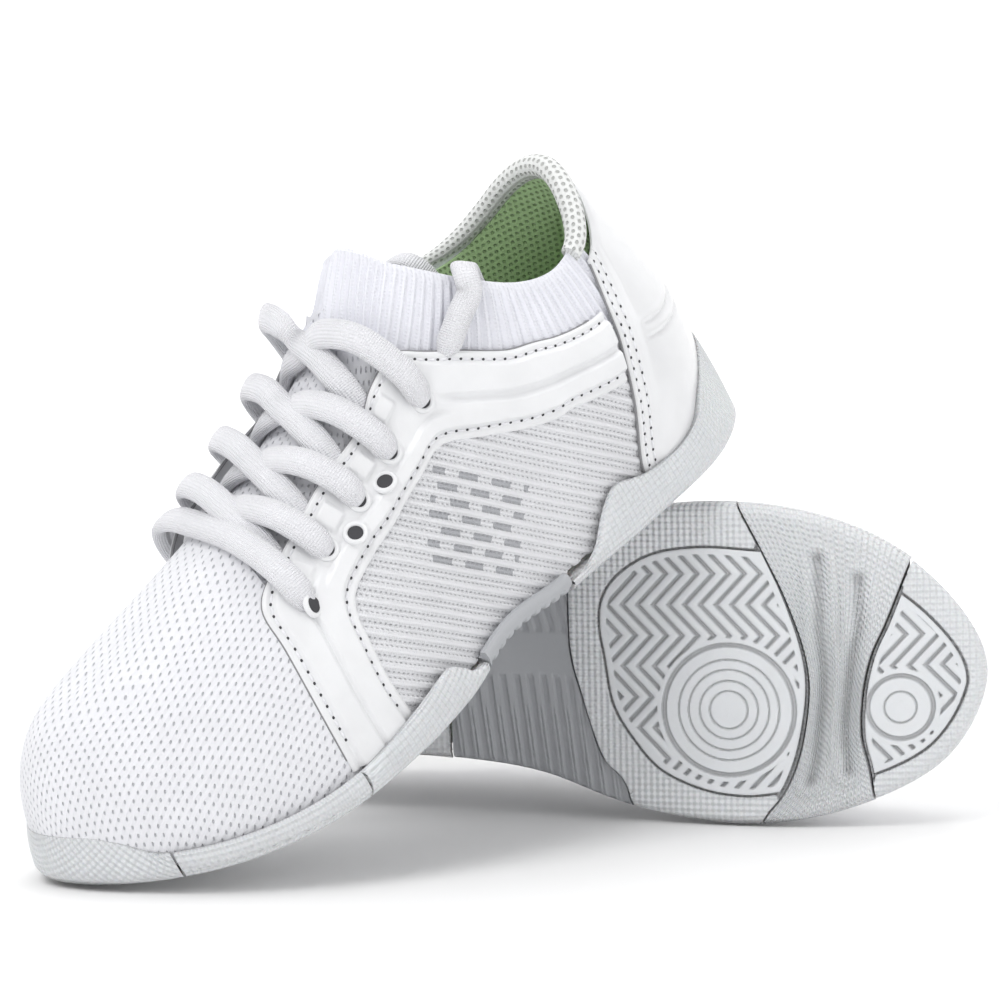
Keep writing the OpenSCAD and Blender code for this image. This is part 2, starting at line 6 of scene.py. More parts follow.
import bpy
import numpy as np
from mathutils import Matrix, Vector


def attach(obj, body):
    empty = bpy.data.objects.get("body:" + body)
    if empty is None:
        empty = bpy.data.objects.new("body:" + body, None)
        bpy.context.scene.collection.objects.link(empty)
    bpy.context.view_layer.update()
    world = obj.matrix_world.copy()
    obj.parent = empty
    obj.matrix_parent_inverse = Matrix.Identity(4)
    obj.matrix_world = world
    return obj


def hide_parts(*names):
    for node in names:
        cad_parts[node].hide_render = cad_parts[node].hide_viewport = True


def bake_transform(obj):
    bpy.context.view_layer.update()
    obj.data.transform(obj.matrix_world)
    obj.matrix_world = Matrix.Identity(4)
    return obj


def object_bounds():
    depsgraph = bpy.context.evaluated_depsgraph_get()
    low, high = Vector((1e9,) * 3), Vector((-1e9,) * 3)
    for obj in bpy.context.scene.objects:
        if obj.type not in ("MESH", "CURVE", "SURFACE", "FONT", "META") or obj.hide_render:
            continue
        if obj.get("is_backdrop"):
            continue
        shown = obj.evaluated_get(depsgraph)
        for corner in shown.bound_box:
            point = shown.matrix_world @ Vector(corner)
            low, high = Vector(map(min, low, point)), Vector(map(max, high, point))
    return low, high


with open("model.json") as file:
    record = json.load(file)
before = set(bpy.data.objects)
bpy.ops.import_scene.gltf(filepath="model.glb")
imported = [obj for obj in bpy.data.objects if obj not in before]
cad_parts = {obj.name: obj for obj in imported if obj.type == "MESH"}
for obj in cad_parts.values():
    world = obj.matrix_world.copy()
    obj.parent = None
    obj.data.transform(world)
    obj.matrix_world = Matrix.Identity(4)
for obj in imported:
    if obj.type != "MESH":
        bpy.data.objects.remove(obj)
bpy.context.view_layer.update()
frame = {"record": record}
RECORD = frame["record"]

# ---------------------------------------------------------------- shoe shape, left shoe, millimetres
LATERAL = np.array([(0, 0), (7, 17), (28, 29.5), (59, 32.5), (93, 33), (123, 38), (157, 46.5), (191, 46),
                    (220, 36), (241, 17), (249, -4)], float)
MEDIAL = np.array([(0, 0), (7, -15.5), (27, -27.5), (57, -29), (88, -27.7), (120, -32.5), (152, -42.5),
                   (183, -46), (213, -40.5), (238, -27), (249, -4)], float)
RIDGE = [(94, 0, 108.5), (112, 0, 87), (128, 0, 76.5), (147, -.5, 68), (163, -1, 63), (179, -2, 59),
         (191, -3, 56), (201, -4, 53.5), (207, -4.5, 52), (210, -5, 51.2), (211.5, -5, 50.7), (212, -5, 50.5)]
TOP_LATERAL = np.array([(24, 0, 94), (25, 6.5, 93), (28, 13, 89), (33, 19, 82.5), (39, 22.5, 77.5), (49, 24, 75.5),
                        (61, 24.5, 79.5), (74, 23, 89), (87.5, 17, 101.5)] + RIDGE, float)
TOP_MEDIAL = np.array([(24, 0, 94), (25, -6.5, 93), (28, -13, 90), (33, -19, 85.5), (41, -23, 82), (51, -24, 81.5),
                       (62, -24, 84), (74, -22.5, 91), (87.5, -17, 102)] + RIDGE, float)
TOE_LINE = [(240, 60), (229, 32), (225, 22), (221, 12), (217, 3), (214.5, -8), (214, -20), (216, -29),
            (217.5, -38), (221, -60)]
FLEX_LINE = [(172, 60), (180, 46), (187.7, 31), (193, 19.5), (197.7, 6), (199.5, -5), (198.5, -17), (196, -28),
             (192, -37), (186.5, -44), (176, -60)]
BALL_LINE = [(129, 60), (129, 13), (130, 1), (132.7, -8.6), (135.5, -18), (139.5, -28), (146, -36), (152, -60)]
HEEL_LINE = [(91, 60), (92, 0), (95, -60)]
BALL_PAD = [(186.3, 33.3), (168.8, 34.4), (155, 32.5), (145.2, 27), (140, 20), (139, 11.7), (140.5, 2),
            (142.8, -11), (148.5, -21), (156.6, -30), (168.8, -35.5), (181, -37.2), (190.8, -36.2)]
BALL_PIVOT, TOE_PIVOT, HEEL_PIVOT = (176.4, -12.5), (225, -12), (34, .5)
HEEL_WALL = [(-9, 29), (0, 29), (8, 27), (21, 21), (29, 15.5), (39, 13), (53, 13.5), (64, 17), (70, 14.5),
             (75, 10), (79, 6), (86, 3), (96, 2)]
FORE_WALL = [(120, 3), (129, 3.5), (134, 5.5), (138, 10), (143, 12.5), (160, 10.5), (180, 8), (203, 7.5), (225, 8),
             (232, 9), (238, 13), (244, 15), (260, 15.5)]
OVERLAY_LOW = [(2.58, .495), (3.12, .5), (3.4, .45), (3.75, .39), (4.1, .35), (4.4, .33), (4.7, .34), (5, .38),
               (5.3, .395), (5.55, .405), (5.85, .395), (5.96, .35), (6, .27), (6.03, .16), (6, .04)]
OVERLAY_TOP = [(2.34, .77), (2.83, .77), (3.2, .755), (3.53, .69), (4, .6), (4.3, .55), (4.6, .55), (4.88, .595),
               (5.4, .655), (5.8, .67), (6.3, .645), (6.58, .59), (6.62, .44), (6.66, .24), (6.68, .04)]
COUNTER_EDGE = [(2.78, .05), (2.78, .175), (2.6, .41), (2.48, .545), (2.35, .655), (2.22, .77), (2, .93)]
ARCH_WALL = [(80, 6.5), (120, 6.2), (160, 6.5)]
EYELETS = [(6.28, .48), (5.88, .537), (5.43, .53), (4.93, .48), (4.42, .425)]
SPARE = [(5.62, .49), (5.15, .47)]
TOE_SPRING, ARCH_RISE = 16., 3.
UPPER_FLOOR = 4.5


def smooth(x):
    x = np.clip(x, 0, 1)
    return x * x * (3 - 2 * x)


def catmull(p0, p1, p2, p3, t):
    t = np.asarray(t)[:, None]
    square, cube = 2 * p0 - 5 * p1 + 4 * p2 - p3, 3 * p1 - p0 - 3 * p2 + p3
    return .5 * (2 * p1 + (p2 - p0) * t + square * t ** 2 + cube * t ** 3)


def spline(points, u):
    """Smooth open curve through points at shares u of its length in steps."""
    p = np.asarray(points, float)
    n = len(p) - 1
    k = np.clip(np.asarray(u, float) * n, 0, n)
    i = np.minimum(k.astype(int), n - 1)
    first, last = 2 * p[0] - p[1], 2 * p[n] - p[n - 1]
    padded = np.vstack([first, p, last])
    return catmull(padded[i], padded[i + 1], padded[i + 2], padded[i + 3], k - i)


def arc_length(p):
    """Distances along a path, from its start."""
    return np.r_[0, np.cumsum(np.linalg.norm(np.diff(p, axis=0), axis=1))]


def dense(points, n=400):
    """Points at even distances along a smooth curve through the given points."""
    c = spline(points, np.linspace(0, 1, 1500))
    d = arc_length(c)
    at = np.linspace(0, d[-1], n)
    return np.stack([np.interp(at, d, c[:, j]) for j in range(c.shape[1])], 1)


def wrap(s):
    s = np.asarray(s, float)
    return np.where(s > 10, s - 20, np.where(s < -10, s + 20, s))


def on_loop(lat, med, s, step):
    n = len(lat) - 1
    k = np.abs(s) / step
    i = np.minimum(np.floor(k).astype(int), n - 1)
    near = (s >= 0)[:, None]

    def pick(index, other):
        return np.where(near ^ other[:, None], lat[index], med[index])

    no = np.zeros(len(s), bool)
    before = np.where(i == 0, 1, i - 1)
    after = np.where(i == n - 1, n - 1, i + 2)
    last = pick(np.minimum(after, n), i == n - 1)
    return catmull(pick(before, i == 0), pick(i, no), pick(i + 1, no), last, k - i)


def outline(s):
    return on_loop(LATERAL, MEDIAL, wrap(s), 1.)


def outward(s):
    d = outline(np.asarray(s) + .01) - outline(np.asarray(s) - .01)
    d /= np.linalg.norm(d, axis=1)[:, None]
    return np.stack([-d[:, 1], d[:, 0]], 1)


def ground(x):
    return (np.where(x > 175, TOE_SPRING * ((x - 175) / 74) ** 2, 0)
            + np.where((x > 92) & (x < 140), ARCH_RISE * np.sin(np.pi * (x - 92) / 48) ** 2, 0))


def top_at(s):
    return on_loop(TOP_LATERAL, TOP_MEDIAL, wrap(s), .5)


def upper(s, t):
    s, t = np.broadcast_arrays(np.asarray(s, float).ravel(), np.asarray(t, float).ravel())
    s = wrap(s)
    t = np.clip(t, 0, 1)
    a = np.abs(s)
    n = outward(s)
    inset = 6.7 + 1.8 * (1 - smooth((a - 1) / 1.5)) - 1.2 * smooth((a - 6.5) / 2)
    b = outline(s) - n * inset[:, None]
    low = ground(b[:, 0]) + UPPER_FLOOR
    r = top_at(s)
    arc = smooth((a - 3) / 1.5)
    full = .9 - .17 * smooth((a - 6) / 2.5)
    side = (1 - arc) * t ** (2.6 - smooth(a / 2.5)) + arc * (1 - np.maximum(np.cos(np.pi / 2 * t), 0) ** full)
    rise = (1 - arc) * t + arc * np.sin(np.pi / 2 * t)
    bulge = (3 + smooth(a / 2)) * np.sin(np.pi * t) ** 2 * (1 - arc)
    xy = b + (r[:, :2] - b) * side[:, None] + n * bulge[:, None]
    return np.column_stack([xy, low + (r[:, 2] - low) * rise])


def upper_normal(s, t, h=.02):
    s, t = np.broadcast_arrays(np.asarray(s, float).ravel(), np.asarray(t, float).ravel())
    a = upper(s + h, t) - upper(s - h, t)
    b = upper(s, np.clip(t + h, 0, 1)) - upper(s, np.clip(t - h, 0, 1))
    c = np.cross(b, a)
    return c / np.maximum(np.linalg.norm(c, axis=1), 1e-9)[:, None]


def on_upper(s, t, lift):
    p = upper(s, t)
    return p + upper_normal(s, t) * np.broadcast_to(np.asarray(lift, float).ravel(), (len(p),))[:, None]


# ---------------------------------------------------------------- placing the two shoes
def shoe_frames():
    """Rotation, position and side sign of each shoe, from its toe hinge and its tread face."""
    joints = {j["name"]: j for j in RECORD["behaviour"]["joints"]}
    mounts = {m["name"]: m for m in RECORD["mounts"]}
    out = {}
    for side, sign in (("left", 1), ("right", -1)):
        hinge = joints[side + "_toe_flex"]
        y = -np.array(hinge["axis"])
        z = -np.array(mounts[side + "_ball_tread"]["axis"])
        z = z - y * (z @ y)
        z /= np.linalg.norm(z)
        rot = np.column_stack([np.cross(y, z), y, z])
        pos = np.array(hinge["pos_m"]) * 1000 - rot @ np.array([207., 0, 5])
        out[side] = (rot, pos, sign)
    return out


PLACES = shoe_frames()


def place(side, p):
    rot, pos, sign = PLACES[side]
    return ((np.asarray(p, float) * [1, sign, 1]) @ rot.T + pos) / 1000


# ---------------------------------------------------------------- meshes
def quads(n, m, closed=False, base=0):
    """Faces of an n by m grid of points; closed joins the last row to the first."""
    rows = n if closed else n - 1
    i, j = np.meshgrid(np.arange(rows), np.arange(m - 1), indexing="ij")
    a = i * m + j
    b = ((i + 1) % n) * m + j
    return (np.stack([a, b, b + 1, a + 1], -1).reshape(-1, 4) + base).tolist()


def signed_volume(points, faces):
    total = 0.
    f4 = np.array([f for f in faces if len(f) == 4])
    for f in (f4[:, [0, 1, 2]], f4[:, [0, 2, 3]]) if len(f4) else ():
        a, b, c = points[f[:, 0]], points[f[:, 1]], points[f[:, 2]]
        total += np.einsum("ij,ij->i", a, np.cross(b, c)).sum()
    for f in faces:
        if len(f) == 4:
            continue
        for k in range(1, len(f) - 1):
            total += points[f[0]] @ np.cross(points[f[k]], points[f[k + 1]])
    return total


class Part:
    """Points, faces and surface coordinates of one piece, in the shoe's own frame."""

    def __init__(self):
        self.p, self.f, self.uv, self.n = [], [], [], 0

    def add(self, points, faces, uv=None):
        points = np.asarray(points, float).reshape(-1, 3)
        if signed_volume(points - points.mean(0), faces) < 0:
            faces = [f[::-1] for f in faces]
        uv = np.zeros((len(points), 2)) if uv is None else np.asarray(uv, float).reshape(-1, 2)
        self.p.append(points)
        self.uv.append(uv)
        self.f += [[i + self.n for i in f] for f in faces]
        self.n += len(points)
        return self

    def build(self, name, material, body, slot, nodes=(), blend=None, angle=35, sides=("left", "right")):
        p, uv = np.vstack(self.p), np.vstack(self.uv)
        for side in sides:
            flip = side == "right"
            mesh = bpy.data.meshes.new(f"{side}_{name}")
            faces = [f[::-1] for f in self.f] if flip else self.f
            mesh.from_pydata(place(side, p).tolist(), [], faces)
            local = mesh.attributes.new("loc", "FLOAT_VECTOR", "POINT")
            local.data.foreach_set("vector", p.astype(np.float32).ravel())
            surf = mesh.attributes.new("surf", "FLOAT_VECTOR", "POINT")
            surf.data.foreach_set("vector", np.column_stack([uv, np.zeros(len(uv))]).astype(np.float32).ravel())
            mesh.polygons.foreach_set("use_smooth", np.ones(len(mesh.polygons), bool))
            mesh.set_sharp_from_angle(angle=math.radians(angle))
            mesh.materials.append(material)
            o = bpy.data.objects.new(f"{side}_{name}", mesh)
            bpy.context.scene.collection.objects.link(o)
            if blend:
                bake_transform(o)
            else:
                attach(o, side + "_toe" if body == "toe" else "root")
            if nodes:
                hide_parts(*[f"{side}_{n}" for n in nodes])


def shell(outer, inner, uv=None, closed=False):
    """Closed sheet between two grids of points of the same shape (rows, columns, 3)."""
    n, m = outer.shape[:2]
    k = n * m
    points = np.vstack([outer.reshape(-1, 3), inner.reshape(-1, 3)])
    faces = quads(n, m, closed) + [f[::-1] for f in quads(n, m, closed, k)]
    rows = n if closed else n - 1
    for i in range(rows):
        a, b = i * m, ((i + 1) % n) * m
        faces += [[b, a, a + k, b + k], [a + m - 1, b + m - 1, b + m - 1 + k, a + m - 1 + k]]
    if not closed:
        for j in range(m - 1):
            a, b = j, (n - 1) * m + j
            faces += [[a, a + 1, a + 1 + k, a + k], [b + 1, b, b + k, b + 1 + k]]
    uv = None if uv is None else np.vstack([uv.reshape(-1, 2)] * 2)
    return points, faces, uv


def sheet(name, material, slot, outer, inner, uv=None, body="root"):
    """One closed sheet as a piece of both shoes, in place of the CAD node of the same name."""
    uv = grid_uv(outer) if uv is None else uv
    Part().add(*shell(outer, inner, uv)).build(name, material, body, slot, [name])


def grid_uv(g):
    """Distances along the rows' and columns' middle lines, in millimetres."""
    n, m = g.shape[:2]
    du = np.r_[0, np.cumsum(np.linalg.norm(np.diff(g[:, m // 2], axis=0), axis=1))]
    dv = np.concatenate([np.zeros((n, 1)), np.cumsum(np.linalg.norm(np.diff(g, axis=1), axis=2), axis=1)], 1)
    return np.stack([np.repeat(du[:, None], m, 1), dv], -1)


def lifted(st, lift):
    n, m = st.shape[:2]
    return on_upper(st[..., 0], st[..., 1], lift).reshape(n, m, 3)


def tube(path, up, width, height, sides=20, squareness=2.3):
    """Closed tube of oval section, wide across the path and up; surface coordinates run round and along it."""
    path, up = np.asarray(path, float), np.asarray(up, float)
    n = len(path)
    d = np.gradient(path, axis=0)
    d /= np.linalg.norm(d, axis=1)[:, None]
    up = up - d * (up * d).sum(1)[:, None]
    up /= np.linalg.norm(up, axis=1)[:, None]
    side = np.cross(d, up)
    a = np.linspace(0, 2 * np.pi, sides, endpoint=False) - np.pi / 2
    c = np.sign(np.cos(a)) * np.abs(np.cos(a)) ** (2 / squareness)
    q = np.sign(np.sin(a)) * np.abs(np.sin(a)) ** (2 / squareness)
    w = np.broadcast_to(width, (n,)) / 2
    h = np.broadcast_to(height, (n,)) / 2
    rings = (path[:, None] + side[:, None] * (c[None] * w[:, None])[..., None]
             + up[:, None] * (q[None] * h[:, None])[..., None])
    along = np.r_[0, np.cumsum(np.linalg.norm(np.diff(path, axis=0), axis=1))]
    round_ = np.arange(sides) / sides * math.pi * (float(np.mean(w)) + float(np.mean(h)))
    uv = np.stack(np.meshgrid(along, round_, indexing="ij"), -1)
    points = rings.reshape(-1, 3)
    i, j = np.meshgrid(np.arange(n - 1), np.arange(sides), indexing="ij")
    a0, b0 = i * sides + j, i * sides + (j + 1) % sides
    faces = np.stack([a0, b0, b0 + sides, a0 + sides], -1).reshape(-1, 4).tolist()
    faces += [list(range(sides - 1, -1, -1)), [(n - 1) * sides + k for k in range(sides)]]
    return points, faces, uv.reshape(-1, 2)


# ---------------------------------------------------------------- materials
class Nodes:
    """Short names for building a material's node tree."""

    def __init__(self, name):
        self.m = bpy.data.materials.new(name)
        self.m.use_nodes = True
        self.t = self.m.node_tree
        self.bsdf = self.t.nodes["Principled BSDF"]

    def node(self, kind, **props):
        n = self.t.nodes.new(kind)
        for k, v in props.items():
            setattr(n, k, v)
        return n

    def put(self, socket, value):
        if hasattr(value, "is_output"):
            self.t.links.new(value, socket)
        else:
            socket.default_value = value

    def math(self, op, a, b=0.):
        n = self.node("ShaderNodeMath", operation=op)
        self.put(n.inputs[0], a)
        self.put(n.inputs[1], b)
        return n.outputs[0]

    def add(self, a, b):
        return self.math("ADD", a, b)

    def sub(self, a, b):
        return self.math("SUBTRACT", a, b)

    def mul(self, a, b):
        return self.math("MULTIPLY", a, b)

    def div(self, a, b):
        return self.math("DIVIDE", a, b)

    def attribute(self, name):
        return self.node("ShaderNodeAttribute", attribute_name=name).outputs["Vector"]

    def split(self, v):
        n = self.node("ShaderNodeSeparateXYZ")
        self.put(n.inputs[0], v)
        return n.outputs

    def noise(self, v, scale, detail=2., rough=.5):
        n = self.node("ShaderNodeTexNoise")
        self.put(n.inputs["Vector"], v)
        n.inputs["Scale"].default_value = scale
        n.inputs["Detail"].default_value = detail
        n.inputs["Roughness"].default_value = rough
        return n.outputs["Fac"]

    def mix(self, fac, a, b):
        n = self.node("ShaderNodeMix", data_type="RGBA")
        self.put(n.inputs[0], fac)
        self.put(n.inputs[6], a)
        self.put(n.inputs[7], b)
        return n.outputs[2]

    def ramp(self, v, low, high):
        """0 below low, 1 above high, smooth between."""
        n = self.node("ShaderNodeMapRange", interpolation_type="SMOOTHSTEP")
        self.put(n.inputs[0], v)
        n.inputs[1].default_value, n.inputs[2].default_value = low, high
        return n.outputs[0]

    def lattice(self, u, v, pu, pv, ru, rv, stagger=.5, turn=0.):
        """Soft dots, 1 in their middle, on rows pv apart and pu apart in a row, with half axes ru and rv."""
        row = self.math("FLOOR", self.div(v, pv))
        odd = self.mul(self.math("MODULO", self.math("ABSOLUTE", row), 2.), stagger)
        a = self.add(self.div(u, pu), odd)
        fu = self.mul(self.sub(self.math("FRACT", a), .5), pu)
        fv = self.mul(self.sub(self.math("FRACT", self.div(v, pv)), .5), pv)
        c, s = math.cos(turn), math.sin(turn)
        x = self.add(self.mul(fu, c / ru), self.mul(fv, s / ru))
        y = self.sub(self.mul(fv, c / rv), self.mul(fu, s / rv))
        d = self.math("SQRT", self.add(self.mul(x, x), self.mul(y, y)))
        return self.ramp(self.sub(1.2, d), 0., .7)

    def painted_groove_shade(self, distance):
        """Painted shade: 1 on open surfaces, towards 0 in corners, grooves and gaps between pieces."""
        n = self.node("ShaderNodeAmbientOcclusion", samples=6)
        n.inputs["Distance"].default_value = distance
        return n.outputs["AO"]

    def bump(self, height, distance, strength=1.):
        n = self.node("ShaderNodeBump")
        n.inputs["Strength"].default_value = strength
        n.inputs["Distance"].default_value = distance / 1000
        self.put(n.inputs["Height"], height)
        self.t.links.new(n.outputs[0], self.bsdf.inputs["Normal"])

    def finish(self, color, rough, **more):
        self.put(self.bsdf.inputs["Base Color"], color)
        self.put(self.bsdf.inputs["Roughness"], rough)
        for k, v in more.items():
            self.put(self.bsdf.inputs[k.replace("_", " ")], v)
        return self.m


def fabric(name, base, dark, pattern, depth, **more):
    """Cloth whose pattern is a function from (nodes, u, v) to (dark share, height); the dark share is painted shade
    in the cloth's sunken holes and grooves, and on the dashed side knit also its printed dashes.
    """
    n = Nodes(name)
    u, v, _ = n.split(n.attribute("surf"))
    loc = n.attribute("loc")
    shade, height = pattern(n, u, v)
    fibre = n.noise(loc, 3.2, 3., .7)
    height = n.add(height, n.mul(fibre, .35))
    soft = n.mix(n.ramp(n.noise(loc, .09, 2.), .3, .7), (*base, 1), (*[c * .97 for c in base], 1))
    # painted shade: the second colour fills the pattern's sunken holes and grooves
    color = n.mix(shade, soft, (*dark, 1))
    n.bump(height, depth)
    opts = {"Sheen_Weight": .25, "Sheen_Roughness": .5, "Specular_IOR_Level": .2}
    opts.update(more)
    return n.finish(color, .88, **opts)


WHITE = (.83, .835, .87)
SHADE = (.40, .41, .46)


def vamp_pattern(n, u, v):
    holes = n.lattice(u, v, 3.1, 2.35, .62, .34, turn=.5)
    rows = n.mul(n.math("SINE", n.mul(v, 2 * math.pi / 2.35)), .18)
    return n.mul(holes, .62), n.sub(rows, holes)


def tongue_pattern(n, u, v):
    holes = n.lattice(u, v, 2.5, 2.2, .5, .4, turn=.3)
    return n.mul(holes, .5), n.mul(holes, -1.)


def cuff_pattern(n, u, v):
    loops = n.lattice(u, v, 1.2, 1.0, .26, .42, stagger=0)
    return n.mul(loops, .12), n.mul(loops, -.5)


RIB = 3.9


def rib_profile(r):
    """1 on a smooth rib, 0 in the recessed band, for a place across the ribs in millimetres."""
    return smooth(.5 + .95 * np.cos(2 * np.pi * r / RIB))


def side_pattern(n, u, v):
    wave = n.math("COSINE", n.mul(u, 2 * math.pi / RIB))
    band = n.ramp(n.mul(wave, -1.), -.1, .45)
    holes = n.lattice(v, u, 1.5, RIB / 2, .36, .5, turn=.7)
    small = n.lattice(v, u, .75, RIB / 4, .2, .3, turn=-.5)
    height = n.sub(n.mul(small, .4), n.mul(holes, band))
    return n.mul(n.mul(holes, band), .55), height


def lace_pattern(n, u, v):
    a = n.math("SINE", n.mul(n.add(u, v), 2 * math.pi / 1.3))
    b = n.math("SINE", n.mul(n.sub(u, v), 2 * math.pi / 1.3))
    w = n.mul(a, b)
    return n.ramp(n.mul(w, -.25), .1, 1.), n.mul(w, .6)


def mesh_pattern(n, u, v):
    holes = n.lattice(u, v, 2.2, 1.9, .62, .55)
    return n.mul(holes, .75), n.mul(holes, -1.)


def leather(name, base, rough, coat, grain=.05):
    n = Nodes(name)
    loc = n.attribute("loc")
    fine = n.noise(loc, 2.4, 4., .6)
    broad = n.noise(loc, .12, 2.)
    n.bump(n.add(n.mul(fine, .25), broad), grain * 6)
    color = n.mix(n.ramp(broad, .3, .75), (*base, 1), (*[c * .96 for c in base], 1))
    r = n.add(n.mul(fine, .12), rough - .05)
    return n.finish(color, r, Coat_Weight=coat, Coat_Roughness=.18, Specular_IOR_Level=.5)


def rubber(name, base, diamonds, rough=.42):
    n = Nodes(name)
    u, v, _ = n.split(n.attribute("surf"))
    loc = n.attribute("loc")
    a = n.math("SINE", n.mul(n.add(u, v), math.pi / 1.8))
    b = n.math("SINE", n.mul(n.sub(u, v), math.pi / 1.8))
    w = n.mul(n.mul(a, b), diamonds)
    n.bump(n.add(w, n.mul(n.noise(loc, 1.5, 3.), .2)), .42)
    color = n.mix(n.ramp(n.noise(loc, .07, 3.), .35, .7), (*base, 1), (*[c * .965 for c in base], 1))
    # painted shade: the rubber goes towards half its colour in grooves, corners and gaps between pieces
    color = n.mix(n.ramp(n.painted_groove_shade(.003), .45, 1.), (*[c * .55 for c in base], 1), color)
    return n.finish(color, rough, Specular_IOR_Level=.45, Subsurface_Weight=.04)


def plain(name, color, rough, **more):
    n = Nodes(name)
    n.bump(n.noise(n.attribute("loc"), 1.2, 2.), .08)
    return n.finish((*color, 1), rough, **more)


M_VAMP = fabric("vamp_knit", WHITE, SHADE, vamp_pattern, .5)
M_TONGUE = fabric("tongue_knit", WHITE, SHADE, tongue_pattern, .5)
M_CUFF = fabric("cuff_knit", (.80, .805, .86), (.5, .5, .56), cuff_pattern, .25)
M_SIDE = fabric("side_knit", (.82, .825, .85), (.30, .31, .34), side_pattern, .45)
M_LACE = fabric("lace_cord", (.83, .83, .865), (.55, .55, .62), lace_pattern, .3)
M_LINING = fabric("lining_mesh", (.50, .70, .37), (.22, .34, .15), mesh_pattern, .6)
M_COLLAR = fabric("collar_mesh", (.80, .81, .80), (.36, .37, .35), mesh_pattern, .5)
M_INSOLE = fabric("insole_cover", (.42, .66, .30), (.25, .42, .17), tongue_pattern, .15)
M_LEATHER = leather("white_leather", (.80, .805, .82), .36, .25)
M_COUNTER = leather("gloss_leather", (.77, .775, .79), .2, .7, .03)
M_RUBBER = rubber("sole_rubber", (.79, .795, .81), 1.)
M_TREAD = rubber("tread_rubber", (.73, .735, .75), .0)
M_FLEX = rubber("flex_rubber", (.78, .785, .80), 1.)
M_ARCH = plain("arch_plastic", (.42, .43, .45), .45)
M_HOLE_SHADE = plain("painted_hole_shade", (.05, .05, .055), .8)
# painted shade for the eyelet holes and the needle holes
M_STITCH = plain("stitch_thread", (.80, .80, .83), .7)
M_EDGE = plain("raw_edge", (.25, .25, .26), .8)
M_BOARD = plain("fibre_board", (.55, .51, .42), .8)


# ---------------------------------------------------------------- rubber sole
def line_x(line, y):
    c = dense(line, 300)
    order = np.argsort(c[:, 1])
    return np.interp(y, c[order, 1], c[order, 0])


def crossing(line, sign, dx=0.):
    """Place s on the outer (+1) or inner (-1) outline where a line across the sole, moved by dx, meets it."""
    s = np.linspace(.2, 9.8, 4000) * sign
    o = outline(s)
    return s[np.argmin(np.abs(o[:, 0] - dx - line_x(line, o[:, 1])))]


def cross_line(line, n, dx=0.):
    """n points of a line across the sole from its outer to its inner end on the outline."""
    a, b = outline([crossing(line, 1, dx)])[0], outline([crossing(line, -1, dx)])[0]
    y = np.linspace(a[1], b[1], n)
    return np.column_stack([line_x(line, y) + dx, y])


def wall_height(table, x):
    c = dense(table, 300)
    return np.interp(x, c[:, 0], c[:, 1])


WALL_T, FLOOR_T, CORNER_R = 2., 3.4, 3.4
SEAM = .35                                          # half the gap between two rubber pieces
PAD_GAP = .75                                       # gap round a tread pad
RIB_PITCH = 4.1                                     # ribs of the arch plate
TOE_BEND = ((192, 0, 5), (222, 0, 5))               # span where the sole and the vamp start and stop bending on the shoe; the points are not read: a piece given them keeps its placement in its points and is not attached to a body


def tray(part, outer, inner, walls, on_arc, inward, recess=1.4):
    """Rubber piece round a tread pad: a floor with the pad's recess and a side wall where it meets the outline."""
    k = len(outer)
    # where the pad reaches the line across the sole, the rim is only as low as the recess
    tight = ~on_arc & (np.linalg.norm(inner - outer, axis=1) < 1.5)
    inner = np.where(tight[:, None], outer + inward * .9, inner)
    level = np.where(tight, recess, 0.)[:, None]
    high = np.where(on_arc, walls, FLOOR_T)[:, None]
    lean = (.3 * smooth((outer[:, :1] - 205) / 30) + .07 * smooth((30 - outer[:, :1]) / 20)) * on_arc[:, None]
    r = np.where(on_arc, CORNER_R, .5)[:, None]
    lip = np.where(on_arc, .5, .05)[:, None]
    wt = np.where(on_arc, WALL_T, .6)[:, None]
    rows = []

    def row(d, z):
        z = np.maximum(np.broadcast_to(z, (k, 1)), level)
        rows.append(np.column_stack([outer + inward * (d + lean * np.maximum(z - CORNER_R, 0)), z]))

    row(wt, FLOOR_T)
    row(wt, np.maximum(high - .5, FLOOR_T))
    row(wt - lip * .6, high)
    row(lip, high)
    row(lip * .25, high - lip * .6)
    for f in (.85, .7, .5, .3):
        row(-.35 * math.sin(math.pi * f) * on_arc[:, None], r + (high - lip - r) * f)
    for q in np.linspace(0, 90, 8):
        row(r * (1 - math.cos(math.radians(q))), r * (1 - math.sin(math.radians(q))))
    start = outer + inward * r
    at_floor = len(rows) - 1
    for f in (.15, .35, .6, .85):
        rows.append(np.column_stack([start + (inner - start) * f, level]))
    edge = inner + (start - inner) / np.maximum(np.linalg.norm(start - inner, axis=1), 1e-6)[:, None] * .35
    rows.append(np.column_stack([edge, level]))
    rows.append(np.column_stack([inner, np.maximum(level[:, 0], .3)]))
    rows.append(np.column_stack([inner, np.full(k, recess)]))
    g = np.stack(rows, 1)
    # surface coordinates: the plan, with the wall rolled out from it
    down = np.cumsum(np.linalg.norm(np.diff(g[:, :at_floor + 1], axis=1), axis=2)[:, ::-1], axis=1)[:, ::-1]
    uv = g[..., :2].copy()
    uv[:, :at_floor] = g[:, at_floor:at_floor + 1, :2] - inward[:, None] * down[..., None]
    top_in = np.column_stack([inner, np.full(k, FLOOR_T)])
    m = g.shape[1]
    points = np.vstack([g.reshape(-1, 3), top_in, [[*inner.mean(0), recess]], [[*inner.mean(0), FLOOR_T]]])
    points[:, 2] += ground(points[:, 0])
    faces = quads(k, m, closed=True)
    t0, c0 = k * m, k * m + k
    for i in range(k):
        j = (i + 1) % k
        faces += [[t0 + i, t0 + j, j * m, i * m], [i * m + m - 1, j * m + m - 1, c0], [t0 + i, c0 + 1, t0 + j]]
    part.add(points, faces, np.vstack([uv.reshape(-1, 2), points[k * m:, :2]]))


